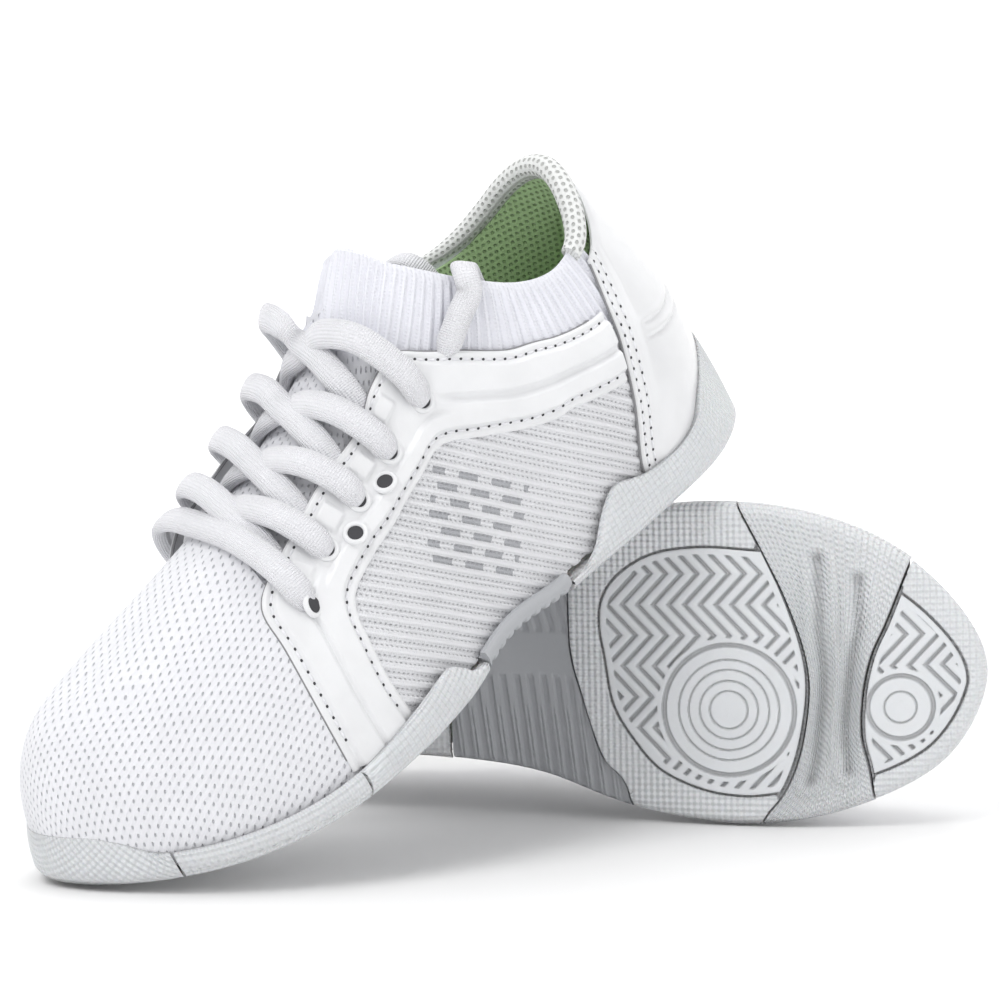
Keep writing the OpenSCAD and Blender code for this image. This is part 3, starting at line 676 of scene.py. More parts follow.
def rounded_loop(runs):
    """Closed loop of outline arcs and lines across the sole: points, directions into the piece, which are on an arc.

    A run is ("arc", from s, to s, count) or ("line", points). Arc ends look along the line that meets them."""
    points, inward, arc = [], [], []
    count = len(runs)
    for k, run in enumerate(runs):
        if run[0] == "arc":
            s = np.linspace(run[1], run[2], run[3])
            p, n = outline(s), -outward(s)
            d = arc_length(p)
            before, after = runs[k - 1][1], runs[(k + 1) % count][1]
            for line, dist in ((before[::-1], d), (after, d[-1] - d)):
                way = line[4] - line[0]
                way = way / np.linalg.norm(way)
                edge = n[0] if dist[0] == 0 else n[-1]
                share = (1 - smooth(dist / 7))[:, None]
                n = n * (1 - share) + way / max(way @ edge, .3) * share
            points.append(p)
            inward.append(n)
            arc.append(np.ones(len(p), bool))
        else:
            p = run[1]
            d = arc_length(p)
            p = p[(d > CORNER_R + .25) & (d < d[-1] - CORNER_R - .25)]
            way = np.gradient(p, axis=0)
            way /= np.linalg.norm(way, axis=1)[:, None]
            points.append(p)
            inward.append(np.stack([way[:, 1], -way[:, 0]], 1))
            arc.append(np.zeros(len(p), bool))
    points, inward, arc = np.vstack(points), np.vstack(inward), np.concatenate(arc)
    centre = points.mean(0)
    line = ~arc
    wrong = line & (((centre - points) * inward).sum(1) < 0)
    inward[wrong] *= -1
    return points, inward, arc


def match_loop(outer, inner_curve, corners=()):
    """Points of a closed inner curve at the outer points' bearings, seen from the inner curve's middle."""
    centre = inner_curve.mean(0)

    def bearing(p):
        return np.arctan2(p[:, 1] - centre[1], p[:, 0] - centre[0])
    a = bearing(inner_curve)
    order = np.argsort(a)
    a, c = a[order], inner_curve[order]
    a = np.r_[a[-1] - 2 * np.pi, a, a[0] + 2 * np.pi]
    c = np.vstack([c[-1], c, c[0]])
    b = bearing(outer)
    found = np.column_stack([np.interp(b, a, c[:, 0]), np.interp(b, a, c[:, 1])])
    for corner in corners:
        out = grow_point(corner, centre, 1.06)
        found[np.argmin(np.linalg.norm(found - out, axis=1))] = out
    return found


def grow_point(p, centre, more):
    """Corner of a pad moved away from its middle by a little more than the gap round the pad."""
    way = np.asarray(p) - centre
    return p + way / np.linalg.norm(way) * more


def closed_curve(corners, n=700):
    """Dense closed curve through straight or curved runs given as a list of point arrays."""
    p = np.vstack(corners)
    p = np.vstack([p, p[:1]])
    d = arc_length(p)
    at = np.linspace(0, d[-1], n, endpoint=False)
    return np.column_stack([np.interp(at, d, p[:, 0]), np.interp(at, d, p[:, 1])])


def grow(curve, d):
    """Closed curve moved outward by d, seen from its middle."""
    t = np.roll(curve, -1, 0) - np.roll(curve, 1, 0)
    t /= np.maximum(np.linalg.norm(t, axis=1), 1e-9)[:, None]
    n = np.stack([t[:, 1], -t[:, 0]], 1)
    if ((curve - curve.mean(0)) * n).sum() < 0:
        n = -n
    return curve + n * d


def distance_to(curve, p):
    """Distance from points to a closed dense curve."""
    out = np.empty(len(p))
    for i in range(0, len(p), 4000):
        out[i:i + 4000] = np.sqrt(((p[i:i + 4000, None] - curve[None]) ** 2).sum(2).min(1))
    return out


def coons(rear, front, lat, med, n, m):
    """Grid of n by m plan points inside four edge curves; lat and med run from rear to front."""
    u, v = np.linspace(0, 1, n)[:, None, None], np.linspace(0, 1, m)[None, :, None]
    r, f = dense(rear, m)[None], dense(front, m)[None]
    a, b = dense(lat, n)[:, None], dense(med, n)[:, None]
    return ((1 - u) * r + u * f + (1 - v) * a + v * b
            - ((1 - u) * (1 - v) * r[:, :1] + (1 - u) * v * r[:, -1:] + u * (1 - v) * f[:, :1] + u * v * f[:, -1:]))


def tread(part, xy, first, pivot, disc, rings, border, high=1.3, crossing_at=()):
    """Tread pad on a plan grid: zigzag grooves outside a pivot disc, rings inside it, straight grooves across it."""
    n, m = xy.shape[:2]
    p = xy.reshape(-1, 2)
    edge = closed_curve([xy[:, 0], xy[-1], xy[::-1, -1], xy[0, ::-1]], 900)
    d = distance_to(edge, p)
    wave = 9 * .94 * np.abs(((p[:, 1] / 9) % 2) - 1)
    q = (p[:, 0] + wave - first) / 4.6
    across = np.abs(q - np.round(q)) * 4.6 * .73
    radius = np.hypot(p[:, 0] - pivot[0], p[:, 1] - pivot[1])
    field = smooth((d - border) / .5) * smooth((radius - disc - 1.9) / .5)
    z = .85 * smooth(1.25 - across / .62) * field
    z += .25 * smooth(1 - across / 1.5) * field
    for r in rings:
        z = np.maximum(z, .5 * smooth(1.3 - np.abs(radius - r) / .32))
    z = np.maximum(z, 1.0 * smooth(1.4 - np.abs(radius - disc) / .62))
    z += .25 * smooth(1 - d / .4)
    for x in crossing_at:
        z = np.maximum(z, .85 * smooth(1.25 - np.abs(p[:, 0] - x) / .62))
    z3 = z + ground(p[:, 0])
    outer = np.column_stack([p, z3]).reshape(n, m, 3)
    flat = np.column_stack([p, ground(p[:, 0]) + high]).reshape(n, m, 3)
    part.add(*shell(outer, flat, xy))


def build_sole():
    # ball
    rear, front = cross_line(BALL_LINE, 130, SEAM), cross_line(FLEX_LINE, 130, -SEAM)
    outer, inward, arc = rounded_loop([
        ("arc", crossing(BALL_LINE, 1, SEAM), crossing(FLEX_LINE, 1, -SEAM), 90), ("line", front),
        ("arc", crossing(FLEX_LINE, -1, -SEAM), crossing(BALL_LINE, -1, SEAM), 90), ("line", rear[::-1])])
    side = dense(BALL_PAD, 300)
    y = np.linspace(side[-1, 1], side[0, 1], 120)
    pad_front = np.column_stack([line_x(FLEX_LINE, y) - 1.1, y])
    pad = closed_curve([side, pad_front])
    part = Part()
    hole = match_loop(outer, grow(pad, PAD_GAP), (side[0], side[-1]))
    tray(part, outer, hole, wall_height(FORE_WALL, outer[:, 0]), arc, inward)
    part.build("outsole_ball", M_RUBBER, "root", "sole_rubber", ["outsole_ball"])
    i1, i2 = np.argmin(np.hypot(*(side - [145.2, 27]).T)), np.argmin(np.hypot(*(side - [148.5, -21]).T))
    xy = coons(side[i1:i2 + 1], pad_front[::-1], side[i1::-1], side[i2:], 190, 240)
    part = Part()
    tread(part, xy, 130.9, BALL_PIVOT, 18.9, (5.5, 8.5, 11.7, 14.6), 1.6)
    part.build("ball_tread_pad", M_TREAD, "root", "tread_rubber", ["ball_tread_pad"])
    # toe
    line = cross_line(TOE_LINE, 110, SEAM)
    s0, s1 = crossing(TOE_LINE, 1, SEAM), 20 + crossing(TOE_LINE, -1, SEAM)
    outer, inward, arc = rounded_loop([("arc", s0, s1, 180), ("line", line[::-1])])
    s = np.linspace(s0, s1, 400)
    share = np.linspace(0, 1, 400)
    inset = np.interp(share, [0, .2, .5, .8, 1], [9.5, 8, 5.5, 6.5, 7.5])
    rim = outline(s) - outward(s) * inset[:, None]
    rim = rim[rim[:, 0] > line_x(TOE_LINE, rim[:, 1]) + 1.1]
    y = np.linspace(rim[-1, 1], rim[0, 1], 120)
    pad_rear = np.column_stack([line_x(TOE_LINE, y) + 1.1, y])
    pad = closed_curve([rim, pad_rear])
    part = Part()
    hole = match_loop(outer, grow(pad, PAD_GAP), (rim[0], rim[-1]))
    tray(part, outer, hole, wall_height(FORE_WALL, outer[:, 0]), arc, inward)
    part.build("outsole_toe", M_RUBBER, "toe", "sole_rubber", ["outsole_toe"])
    a, b = len(rim) // 3, 2 * len(rim) // 3
    xy = coons(pad_rear[::-1], rim[a:b], rim[:a + 1], rim[:b - 1:-1], 110, 190)
    part = Part()
    tread(part, xy, 208.3, TOE_PIVOT, 9.1, (4.5,), 1.4)
    part.build("toe_tread_pad", M_TREAD, "toe", "tread_rubber", ["toe_tread_pad"])
    # heel
    line = cross_line(HEEL_LINE, 50, -SEAM)
    s0, s1 = crossing(HEEL_LINE, -1, -SEAM), crossing(HEEL_LINE, 1, -SEAM)
    outer, inward, arc = rounded_loop([("arc", s0, s1, 220), ("line", line)])
    s = np.linspace(s0, s1, 500)
    rim = outline(s) - outward(s) * 6
    rim = rim[rim[:, 0] < 81]
    y = np.linspace(rim[-1, 1], rim[0, 1], 100)
    pad = closed_curve([rim, np.column_stack([np.full(100, 81.), y])])
    part = Part()
    hole = match_loop(outer, grow(pad, PAD_GAP), (rim[0], rim[-1]))
    tray(part, outer, hole, wall_height(HEEL_WALL, outer[:, 0]), arc, inward)
    part.build("outsole_heel", M_RUBBER, "root", "sole_rubber", ["outsole_heel"])
    k = len(rim)
    a, b = int(k * .42), int(k * .58)
    xy = coons(rim[a:b], np.column_stack([np.full(80, 81.), np.linspace(rim[0, 1], rim[-1, 1], 80)]),
               rim[a::-1], rim[b:], 230, 130)
    part = Part()
    tread(part, xy, -2.1, HEEL_PIVOT, 12.5, (4.5, 8.5), 1.6, crossing_at=(18.7, 50.7, 66.7))
    part.build("heel_tread_pad", M_TREAD, "root", "tread_rubber", ["heel_tread_pad"])
    build_strips()


def strip_flutes(flat, z):
    """Two flutes pressed into the underside of the flexing strip."""
    half = (line_x(FLEX_LINE, flat[:, 1]) + line_x(TOE_LINE, flat[:, 1])) / 2
    gap = (line_x(TOE_LINE, flat[:, 1]) - line_x(FLEX_LINE, flat[:, 1])) / 2
    for shift, lo_y, hi_y in ((-.5, -33, 31), (.42, -30, 25)):
        off = flat[:, 0] - (half + shift * np.minimum(gap, 12))
        over = np.maximum(0, np.maximum(flat[:, 1] - hi_y, lo_y - flat[:, 1]))
        r = np.hypot(off, over)
        z = z + (2.3 * smooth(1 - r / 2.9) - .5 * smooth(1 - np.abs(r - 3.8) / 1.6))
    return z


def arch_ribs(flat, z):
    """Straight and fanned ribs on both sides of the arch plate's plain middle."""
    x, y = flat.T
    straight = (x + (y + 6) * .12) / RIB_PITCH
    fan = (x + (y - 6) * .32) / RIB_PITCH
    low, high = smooth((-3 - y) / 1.5), smooth((y - 9) / 1.5)
    ribs_low = smooth(.55 + .9 * np.cos(2 * np.pi * straight))
    ribs_high = smooth(.5 + .9 * np.cos(2 * np.pi * fan)) * high
    slit = smooth(1 - np.abs((straight + .5) % 1 - .5) * RIB_PITCH / .35) * smooth((-12 - y) / 2)
    return z + 1.0 + (.9 * (1 - ribs_low) * low + .7 * (1 - ribs_high) * high + .5 * slit)


def strip_wall(edge_xy, s, high, low):
    """Outer and inner grid of a strip's side wall, from its underside up to its top line."""
    out = outward(s)
    cols = [np.column_stack([edge_xy + out * SEAM * math.sin(math.pi * f), low + (high - .4 - low) * f])
            for f in np.linspace(0, 1, 6)]
    cols += [np.column_stack([edge_xy - out * inset, high]) for inset in (.5, 1.6)]
    inner = [np.column_stack([edge_xy - out * WALL_T, np.maximum(c[:, 2] - .01, FLOOR_T + 1)]) for c in cols]
    return np.stack(cols, 1), np.stack(inner, 1)


def build_strips():
    """Pieces with walls on both sides: the flexing strip and the arch plate."""
    for name, material, slot, rear_line, front_line, table, n, blend in (
            ("outsole_flex_strip", M_FLEX, "sole_rubber", FLEX_LINE, TOE_LINE, FORE_WALL, 70, TOE_BEND),
            ("arch_plate", M_ARCH, "arch_plastic", HEEL_LINE, BALL_LINE, ARCH_WALL, 170, None)):
        sa, sb = crossing(rear_line, 1, SEAM), crossing(front_line, 1, -SEAM)
        ma, mb = crossing(rear_line, -1, SEAM), crossing(front_line, -1, -SEAM)
        lat_s, med_s = np.linspace(sa, sb, n), np.linspace(ma, mb, n)
        lat, med = outline(lat_s), outline(med_s)
        m = 170
        xy = coons(cross_line(rear_line, m, SEAM), cross_line(front_line, m, -SEAM), lat, med, n, m)
        # crowd the columns towards the outline
        at = (1 - np.cos(np.linspace(0, np.pi, m))) / 2 * (m - 1)
        i = np.minimum(at.astype(int), m - 2)
        f = (at - i)[None, :, None]
        xy = xy[:, i] * (1 - f) + xy[:, i + 1] * f
        flat = xy.reshape(-1, 2)
        edge = np.vstack([outline(np.linspace(a, b, 300)) for a, b in ((sa - .3, sb + .3), (ma + .3, mb - .3))])
        d = distance_to(edge, flat)
        corner = CORNER_R if name == "outsole_flex_strip" else 2.
        z = corner - np.sqrt(np.maximum(corner ** 2 - np.maximum(corner - d, 0) ** 2, 0))
        z = strip_flutes(flat, z) if name == "outsole_flex_strip" else arch_ribs(flat, z)
        under = np.column_stack([flat, z]).reshape(n, m, 3)
        high_l, high_m = wall_height(table, lat[:, 0]), wall_height(table, med[:, 0])
        rim_z = float(under[:, 0, 2].mean())
        wl, il = strip_wall(lat, lat_s, high_l, rim_z)
        wm, im = strip_wall(med, med_s, high_m, rim_z)
        outer_grid = np.concatenate([wl[:, ::-1], under[:, 1:-1], wm], 1)
        inner_mid = under[:, 1:-1].copy()
        centre = (lat + med)[:, None] / 2
        width = np.linalg.norm(lat - med, axis=1)[:, None, None] / 2
        inner_mid[..., :2] = centre + (inner_mid[..., :2] - centre) * (1 - 2.05 / width)
        inner_mid[..., 2] = FLOOR_T + 1
        inner_grid = np.concatenate([il[:, ::-1], inner_mid, im], 1)
        length = np.repeat(arc_length(lat)[:, None], outer_grid.shape[1], 1)
        uv = np.stack([length, grid_uv(outer_grid)[..., 1]], -1)
        for g in (outer_grid, inner_grid):
            g[..., 2] += ground(g[..., 0])
        part = Part()
        part.add(*shell(outer_grid, inner_grid, uv))
        part.build(name, material, "root", slot, [name], blend=blend)


build_sole()


# ---------------------------------------------------------------- upper
def index_patch(low, high, n, m):
    """(s, t) grid between two edge curves whose points belong together one by one."""
    u = np.linspace(0, 1, n)
    a, b = spline(low, u), spline(high, u)
    j = np.linspace(0, 1, m)[None, :, None]
    return a[:, None] * (1 - j) + b[:, None] * j


def mm_across(g):
    """Distances from both long edges of a grid, and along its rows, in millimetres."""
    d = np.concatenate([np.zeros((len(g), 1)), np.cumsum(np.linalg.norm(np.diff(g, axis=1), axis=2), axis=1)], 1)
    m = g.shape[1]
    along = np.concatenate([np.zeros((1, m)), np.cumsum(np.linalg.norm(np.diff(g, axis=0), axis=2), axis=0)], 0)
    return d, d[:, -1:] - d, along


def unfolded(g, s):
    """Flat coordinates of points on the front of the upper, in millimetres."""
    p = g.reshape(-1, 3)
    out = outward(s.ravel())
    top = np.interp(p[:, 0], [r[0] for r in RIDGE], [r[2] for r in RIDGE])
    return (p[:, :2] + out * (np.maximum(top - p[:, 2], 0) * .9)[:, None]).reshape(*g.shape[:2], 2)


def over_ridge(st, lift):
    """Grid points for rows that run over the ridge, with both sides' directions averaged on it."""
    n, m = st.shape[:2]
    s, t = st[..., 0].ravel(), st[..., 1].ravel()
    p, k = upper(s, t), upper_normal(s, t)
    near = smooth((t - .9) / .1)[:, None]
    both = k * [1, 0, 1] + [0, 0, 1e-6]
    both /= np.linalg.norm(both, axis=1)[:, None]
    k = k * (1 - near) + both * near
    k /= np.linalg.norm(k, axis=1)[:, None]
    return (p + k * np.broadcast_to(lift, (n, m)).ravel()[:, None]).reshape(n, m, 3)


def across_rows(s_rows, t_edge, m):
    """Rows from the outer edge over the ridge to the inner edge; the ridge is the middle column."""
    j = np.linspace(0, 1, m)
    up = 1 - (1 - j) ** 1.25
    t = t_edge[:, None] + (1 - t_edge[:, None]) * up[None]
    s = np.repeat(s_rows[:, None], m, 1)
    st = np.stack([s, t], -1)
    back = st[:, -2::-1].copy()
    back[..., 0] *= -1
    return np.concatenate([st, back], 1)


def build_vamp():
    n, m = 110, 60
    s = 6.45 + 3.55 * np.linspace(0, 1, n)
    st = across_rows(s, np.full(n, .0), m)
    w = 2 * m - 1
    outer, inner = over_ridge(st, 2.95), over_ridge(st, 1.9)
    uv = unfolded(outer, st[..., 0])
    k = n * w
    faces = []
    last = (n - 1) * w

    def at(i, j):
        return last + min(j, w - 1 - j) if i == n - 1 else i * w + j

    for i in range(n - 1):
        for j in range(w - 1):
            f = [at(i, j), at(i, j + 1), at(i + 1, j + 1), at(i + 1, j)]
            faces.append(f)
            faces.append([q + k for q in f[::-1]])
    for j in range(w - 1):
        faces.append([j + 1, j, j + k, j + 1 + k])
    for i in range(n - 1):
        for j, turn in ((0, 1), (w - 1, -1)):
            faces.append([at(i, j), at(i + 1, j), at(i + 1, j) + k, at(i, j) + k][::turn])
    used = np.zeros(2 * k, bool)
    for f in faces:
        used[f] = True
    new = np.cumsum(used) - 1
    points = np.vstack([outer.reshape(-1, 3), inner.reshape(-1, 3)])[used]
    uv2 = np.vstack([uv.reshape(-1, 2)] * 2)[used]
    Part().add(points, [[int(new[q]) for q in f] for f in faces], uv2).build(
        "vamp_knit", M_VAMP, "root", "knit", ["vamp_knit"], blend=TOE_BEND)


def build_tongue():
    n, m = 90, 34
    s = np.linspace(4.56, 6.72, n)
    st = across_rows(s, np.interp(s, [4.56, 5.5, 6.72], [.54, .53, .46]), m)
    # its rear edge keeps below the cuff's ribs on the ridge and reaches further back at the sides
    rear = 4.56 + .2 * smooth((st[..., 1] - .6) / .3)
    st[..., 0] = np.sign(st[..., 0]) * (6.72 - (6.72 - np.abs(st[..., 0])) * (6.72 - rear) / (6.72 - 4.56))
    fold = .35 * np.sin(s * 9)[:, None] * np.sin(np.pi * np.linspace(0, 1, 2 * m - 1))[None] ** 2
    lift = .3 + .95 * smooth((s[:, None] - 4.74) / .3)
    outer, inner = over_ridge(st, lift + fold), over_ridge(st, fold - .2)
    sheet("tongue_knit", M_TONGUE, "knit", outer, inner, unfolded(outer, st[..., 0]))


def build_cuff():
    low = [(2.0, .64), (2.7, .64), (3.5, .58), (4.15, .5), (4.62, .6), (4.84, .8), (4.92, 1)]
    high = [(1.85, 1), (2.6, 1), (3.2, 1), (3.7, 1), (4.1, 1), (4.35, 1), (4.5, 1)]
    n, m = 240, 44
    u = np.linspace(0, 1, n)
    a, b = spline(low, u), spline(high, u)
    a[:, 1], b[:, 1] = np.minimum(a[:, 1], 1), np.minimum(b[:, 1], 1)
    pa, pb = upper(*a.T), upper(*b.T)
    am, bm = a * [-1, 1], b * [-1, 1]
    qa, qb = upper(*am.T), upper(*bm.T)
    na = upper_normal(*a.T)
    ma = upper_normal(*am.T)
    lowers = np.vstack([pa, qa[-2::-1]])
    uppers = np.vstack([pb, qb[-2::-1]])
    normal = np.vstack([na, ma[-2::-1]])
    j = np.linspace(0, 1, m)[None, :, None]
    g = lowers[:, None] * (1 - j) + uppers[:, None] * j
    e = np.gradient(g, axis=0)
    f = np.gradient(g, axis=1)
    k = np.cross(e, f)
    k /= np.maximum(np.linalg.norm(k, axis=2), 1e-9)[..., None]
    if (k * normal[:, None]).sum() < 0:
        k = -k
    for _ in range(12):
        k[1:-1] = (k[:-2] + 2 * k[1:-1] + k[2:]) / 4
        k /= np.linalg.norm(k, axis=2)[..., None]
    round_ = arc_length(uppers)
    height = np.linspace(0, 1, m)[None]
    rib = .42 * np.cos(2 * np.pi * round_ / 2.35)[:, None] * smooth((1 - height) / .12)
    roll = 1.3 * np.sqrt(np.maximum(1 - np.clip((height - .93) / .07, 0, 1) ** 2, 0))
    swell = .8 * np.sin(np.pi * height)
    mid = .65 + swell
    inside = 3.6 * np.exp(-((np.arange(len(g)) - (n + 40)) / 45.) ** 2)[:, None] * smooth(height / .5)
    mid = mid - inside
    outer = g + k * (mid + np.where(height > .93, roll * .8, 1.04) * .75 + rib)[..., None]
    inner = g + k * (mid - np.where(height > .93, roll * .8, 1.04) * .75)[..., None]
    lip = 1.1 * smooth((height - .93) / .07)[..., None] * np.array([0, 0, 1.])
    uv = np.stack([np.repeat(round_[:, None], m, 1), grid_uv(g)[..., 1]], -1)
    sheet("ribbed_cuff", M_CUFF, "rib_knit", outer + lip, inner + lip, uv)


PANEL_LOW = [(2.75, .0), (4.2, .0), (5.4, .0), (6.38, .0)]
PANEL_TOP = [(2.1, .72), (2.9, .62), (3.6, .56), (4.4, .46), (5, .5), (5.6, .58), (6.1, .58), (6.45, .5)]


def build_side_panels():
    for name, turn, material in (("lateral_side_panel", 1, M_DASHED), ("medial_side_panel", -1, M_SIDE)):
        st = index_patch(dense(PANEL_LOW, 60), dense(PANEL_TOP, 60), 330, 120)
        st[..., 0] *= turn
        g = lifted(st, 0)
        r = (g[..., 0] - 1.07 * g[..., 2]) / 1.465
        along = (1.07 * g[..., 0] + g[..., 2]) / 1.465
        outer = lifted(st, 2.35 + .75 * rib_profile(r))
        sheet(name, material, "side_knit", outer, lifted(st, 1.7), np.stack([r, along], -1))


def bell(x, at, width):
    return np.exp(-((x - at) / width) ** 2)


def band(x, a, b, soft):
    """1 between a and b with soft shoulders."""
    return smooth((x - a) / soft + .5) * smooth((b - x) / soft + .5)


ANY = 1e9                                           # no limit on this side of a band


def overlay_relief(idx, d_low, d_top, spots, xyz):
    """Height of the overlay's outer face above its edge, in millimetres."""
    width = d_low + d_top
    h = .95 - .5 * (1 - smooth(np.minimum(d_low, d_top) / .7))
    h = h - .42 * (bell(d_low, 2.5, .55) + bell(d_top, 2.2, .55))
    rear = smooth((4.9 - idx) / .9)
    strap = smooth((idx - 9.6) / .9)
    eye = 1 - np.maximum(rear, strap)
    mid = width * .47
    low_side, top_side = band(d_low, 3.4, ANY, 1.4), band(d_top, 3.2, ANY, 1.4)

    def pads(a, b):
        """Two long pads with a valley from a to b between them."""
        return low_side * band(d_low, -ANY, a, 1.6) + band(d_low, b, ANY, 1.6) * top_side

    puff = 1.35 * pads(mid - .9, mid + 1.1)
    puff_s = pads(width * .5 - .5, width * .5 + .7)
    ridge = 1.35 * low_side * band(d_low, -ANY, 8., 1.8)
    h = h + rear * puff + strap * puff_s + eye * ridge
    boss = np.zeros_like(h)
    for p in spots:
        rr = np.linalg.norm(xyz - p, axis=2)
        boss = np.maximum(boss, .5 * smooth((4.3 - rr) / 1.2))
    h = h + eye * boss
    for a, b in zip(spots[:5], spots[1:5]):
        c = (a + b) / 2
        d = (b - a) / np.linalg.norm(b - a)
        q = (xyz - c) @ d
        h = h + eye * 1.05 * band(q, -3., 3., 1.4) * band(d_top, 3.4, 9.5, 1.4)
    return h


THREAD_W, THREAD_H = [.3, .62, .74, .74, .62, .3], [.3, .5, .6, .6, .5, .3]


def stitch_row(threads, holes, path, normal, pitch=3.3):
    """Sunken thread stitches with needle holes between them, painted as dark shade, along a path on the surface."""
    d = arc_length(path)
    count = max(int(d[-1] / pitch), 1)
    at = np.linspace(0, d[-1], count + 1)
    p = np.stack([np.interp(at, d, path[:, k]) for k in range(3)], 1)
    n = np.stack([np.interp(at, d, normal[:, k]) for k in range(3)], 1)
    for i in range(count):
        a, b = p[i] * .83 + p[i + 1] * .17, p[i] * .17 + p[i + 1] * .83
        u = np.linspace(0, 1, 6)[:, None]
        line = a + (b - a) * u + n[i] * (np.sin(np.pi * u) * .28 - .12)
        threads.add(*tube(line, np.repeat(n[i][None], 6, 0), THREAD_W, THREAD_H, sides=8, squareness=2))
    for q, k in zip(p, n):
        side = np.cross(k, [.3, .5, .8])
        side /= np.linalg.norm(side)
        line = q + side * np.array([-.42, -.2, .2, .42])[:, None] + k * .06
        holes.add(*tube(line, np.repeat(k[None], 4, 0), [.3, .8, .8, .3], [.12, .3, .3, .12], sides=8, squareness=2))


def surface_rows(grid, d_low, d_top, low_at=None, top_at_=None):
    """Points of a grid at a distance from its low or top edge, one per row."""
    out = []
    for row, a, b in zip(grid, d_low, d_top):
        if low_at is not None:
            out.append([np.interp(low_at, a, row[:, k]) for k in range(3)])
        else:
            out.append([np.interp(top_at_, b[::-1], row[::-1, k]) for k in range(3)])
    return np.array(out)


def grid_normals(g, core):
    k = np.cross(np.gradient(g, axis=0), np.gradient(g, axis=1))
    k /= np.maximum(np.linalg.norm(k, axis=2), 1e-9)[..., None]
    return -k if (k * (g - core)).sum() < 0 else k


def ring(centre, normal, radius, width, height, sides=10, count=36):
    """Closed ring lying on a surface."""
    a = np.cross(normal, [.2, .9, .4])
    a /= np.linalg.norm(a)
    b = np.cross(normal, a)
    u = np.linspace(0, 2 * np.pi, count, endpoint=False)
    v = np.linspace(0, 2 * np.pi, sides, endpoint=False)
    out = a * np.cos(u)[:, None] + b * np.sin(u)[:, None]
    g = (centre + out[:, None] * (radius + width * np.cos(v))[None, :, None]
         + normal * (height * np.sin(v))[None, :, None])
    i, j = np.meshgrid(np.arange(count), np.arange(sides), indexing="ij")
    i2, j2 = (i + 1) % count, (j + 1) % sides
    f = np.stack([i * sides + j, i2 * sides + j, i2 * sides + j2, i * sides + j2], -1).reshape(-1, 4)
    return g.reshape(-1, 3), f.tolist(), None


def disc(centre, normal, radius, thick, count=28):
    a = np.cross(normal, [.2, .9, .4])
    a /= np.linalg.norm(a)
    b = np.cross(normal, a)
    u = np.linspace(0, 2 * np.pi, count, endpoint=False)
    out = a * np.cos(u)[:, None] + b * np.sin(u)[:, None]
    rows = [(radius * .5, 0), (radius * .9, 0), (radius, -.2 * thick), (radius, -thick), (radius * .5, -thick)]
    g = np.stack([centre + out * r + normal * z for r, z in rows])
    f = []
    for k in range(len(rows) - 1):
        for i in range(count):
            j = (i + 1) % count
            f.append([k * count + i, k * count + j, (k + 1) * count + j, (k + 1) * count + i])
    f.append(list(range(count))[::-1])
    f.append([(len(rows) - 1) * count + i for i in range(count)])
    return g.reshape(-1, 3), f, None


def build_overlays():
    core = np.array([110, 0, 20.])
    for name, turn in (("lateral_overlay", 1), ("medial_overlay", -1)):
        n, m = 300, 64
        st = index_patch(OVERLAY_LOW, OVERLAY_TOP, n, m)
        st[..., 1] = np.maximum(st[..., 1], 0)
        st[..., 0] *= turn
        g = lifted(st, 3.6)
        d_low, d_top, _ = mm_across(g)
        idx = np.repeat(np.linspace(0, 14, n)[:, None], m, 1)
        eyes = [(s * turn, t) for s, t in EYELETS + SPARE]
        spots = [on_upper(s, t, 3.6)[0] for s, t in eyes]
        h = overlay_relief(idx, d_low, d_top, spots, g)
        share = np.linspace(0, 1, m)[None] * np.ones((n, 1))
        stand = flare(turn, share) * smooth((idx - 4.1) / 1.2) * smooth((11.2 - idx) / 1.6)
        outer = lifted(st, 3. + h + stand)
        inner = lifted(st, 2.9 + stand)
        sheet(name, M_LEATHER, "white_leather", outer, inner)
        edge, away = lifted(st[8:-4, -1:], (2.75 + stand[8:-4, -1:]))[:, 0], lifted(st[8:-4, -1:], 9.)[:, 0]
        rim = Part()
        rim.add(*tube(edge, away - edge, .8, .9, sides=8))
        rim.build(name + "_edge", M_EDGE, "root", "white_leather")
        threads, holes = Part(), Part()
        k = grid_normals(outer, core)
        low, top = surface_rows(outer, d_low, d_top, low_at=2.5), surface_rows(outer, d_low, d_top, top_at_=2.2)
        kl, kt = surface_rows(k, d_low, d_top, low_at=2.5), surface_rows(k, d_low, d_top, top_at_=2.2)
        keep = slice(4, n - 10)
        stitch_row(threads, holes, low[keep], kl[keep])
        stitch_row(threads, holes, top[keep], kt[keep])
        threads.build(name + "_stitches", M_STITCH, "root", "white_leather")
        rims, dark = Part(), Part()
        for p in spots:
            at = np.unravel_index(np.argmin(np.linalg.norm(g - p, axis=2)), h.shape)
            nn, c = k[at], outer[at]
            rise = ((outer[np.linalg.norm(outer - c, axis=2) < 2.6] - c) @ nn).max()
            rims.add(*ring(c + nn * (rise * .7), nn, 2.75, .75, .8))
            # painted shade: a near-black disc in each eyelet hole
            dark.add(*disc(c + nn * (rise + .2), nn, 2.3, 1.6))
        dark.add(np.vstack(holes.p), holes.f)
        rims.build(name + "_eyelets", M_LEATHER, "root", "white_leather")
        dark.build(name + "_holes", M_HOLE_SHADE, "root", "white_leather")


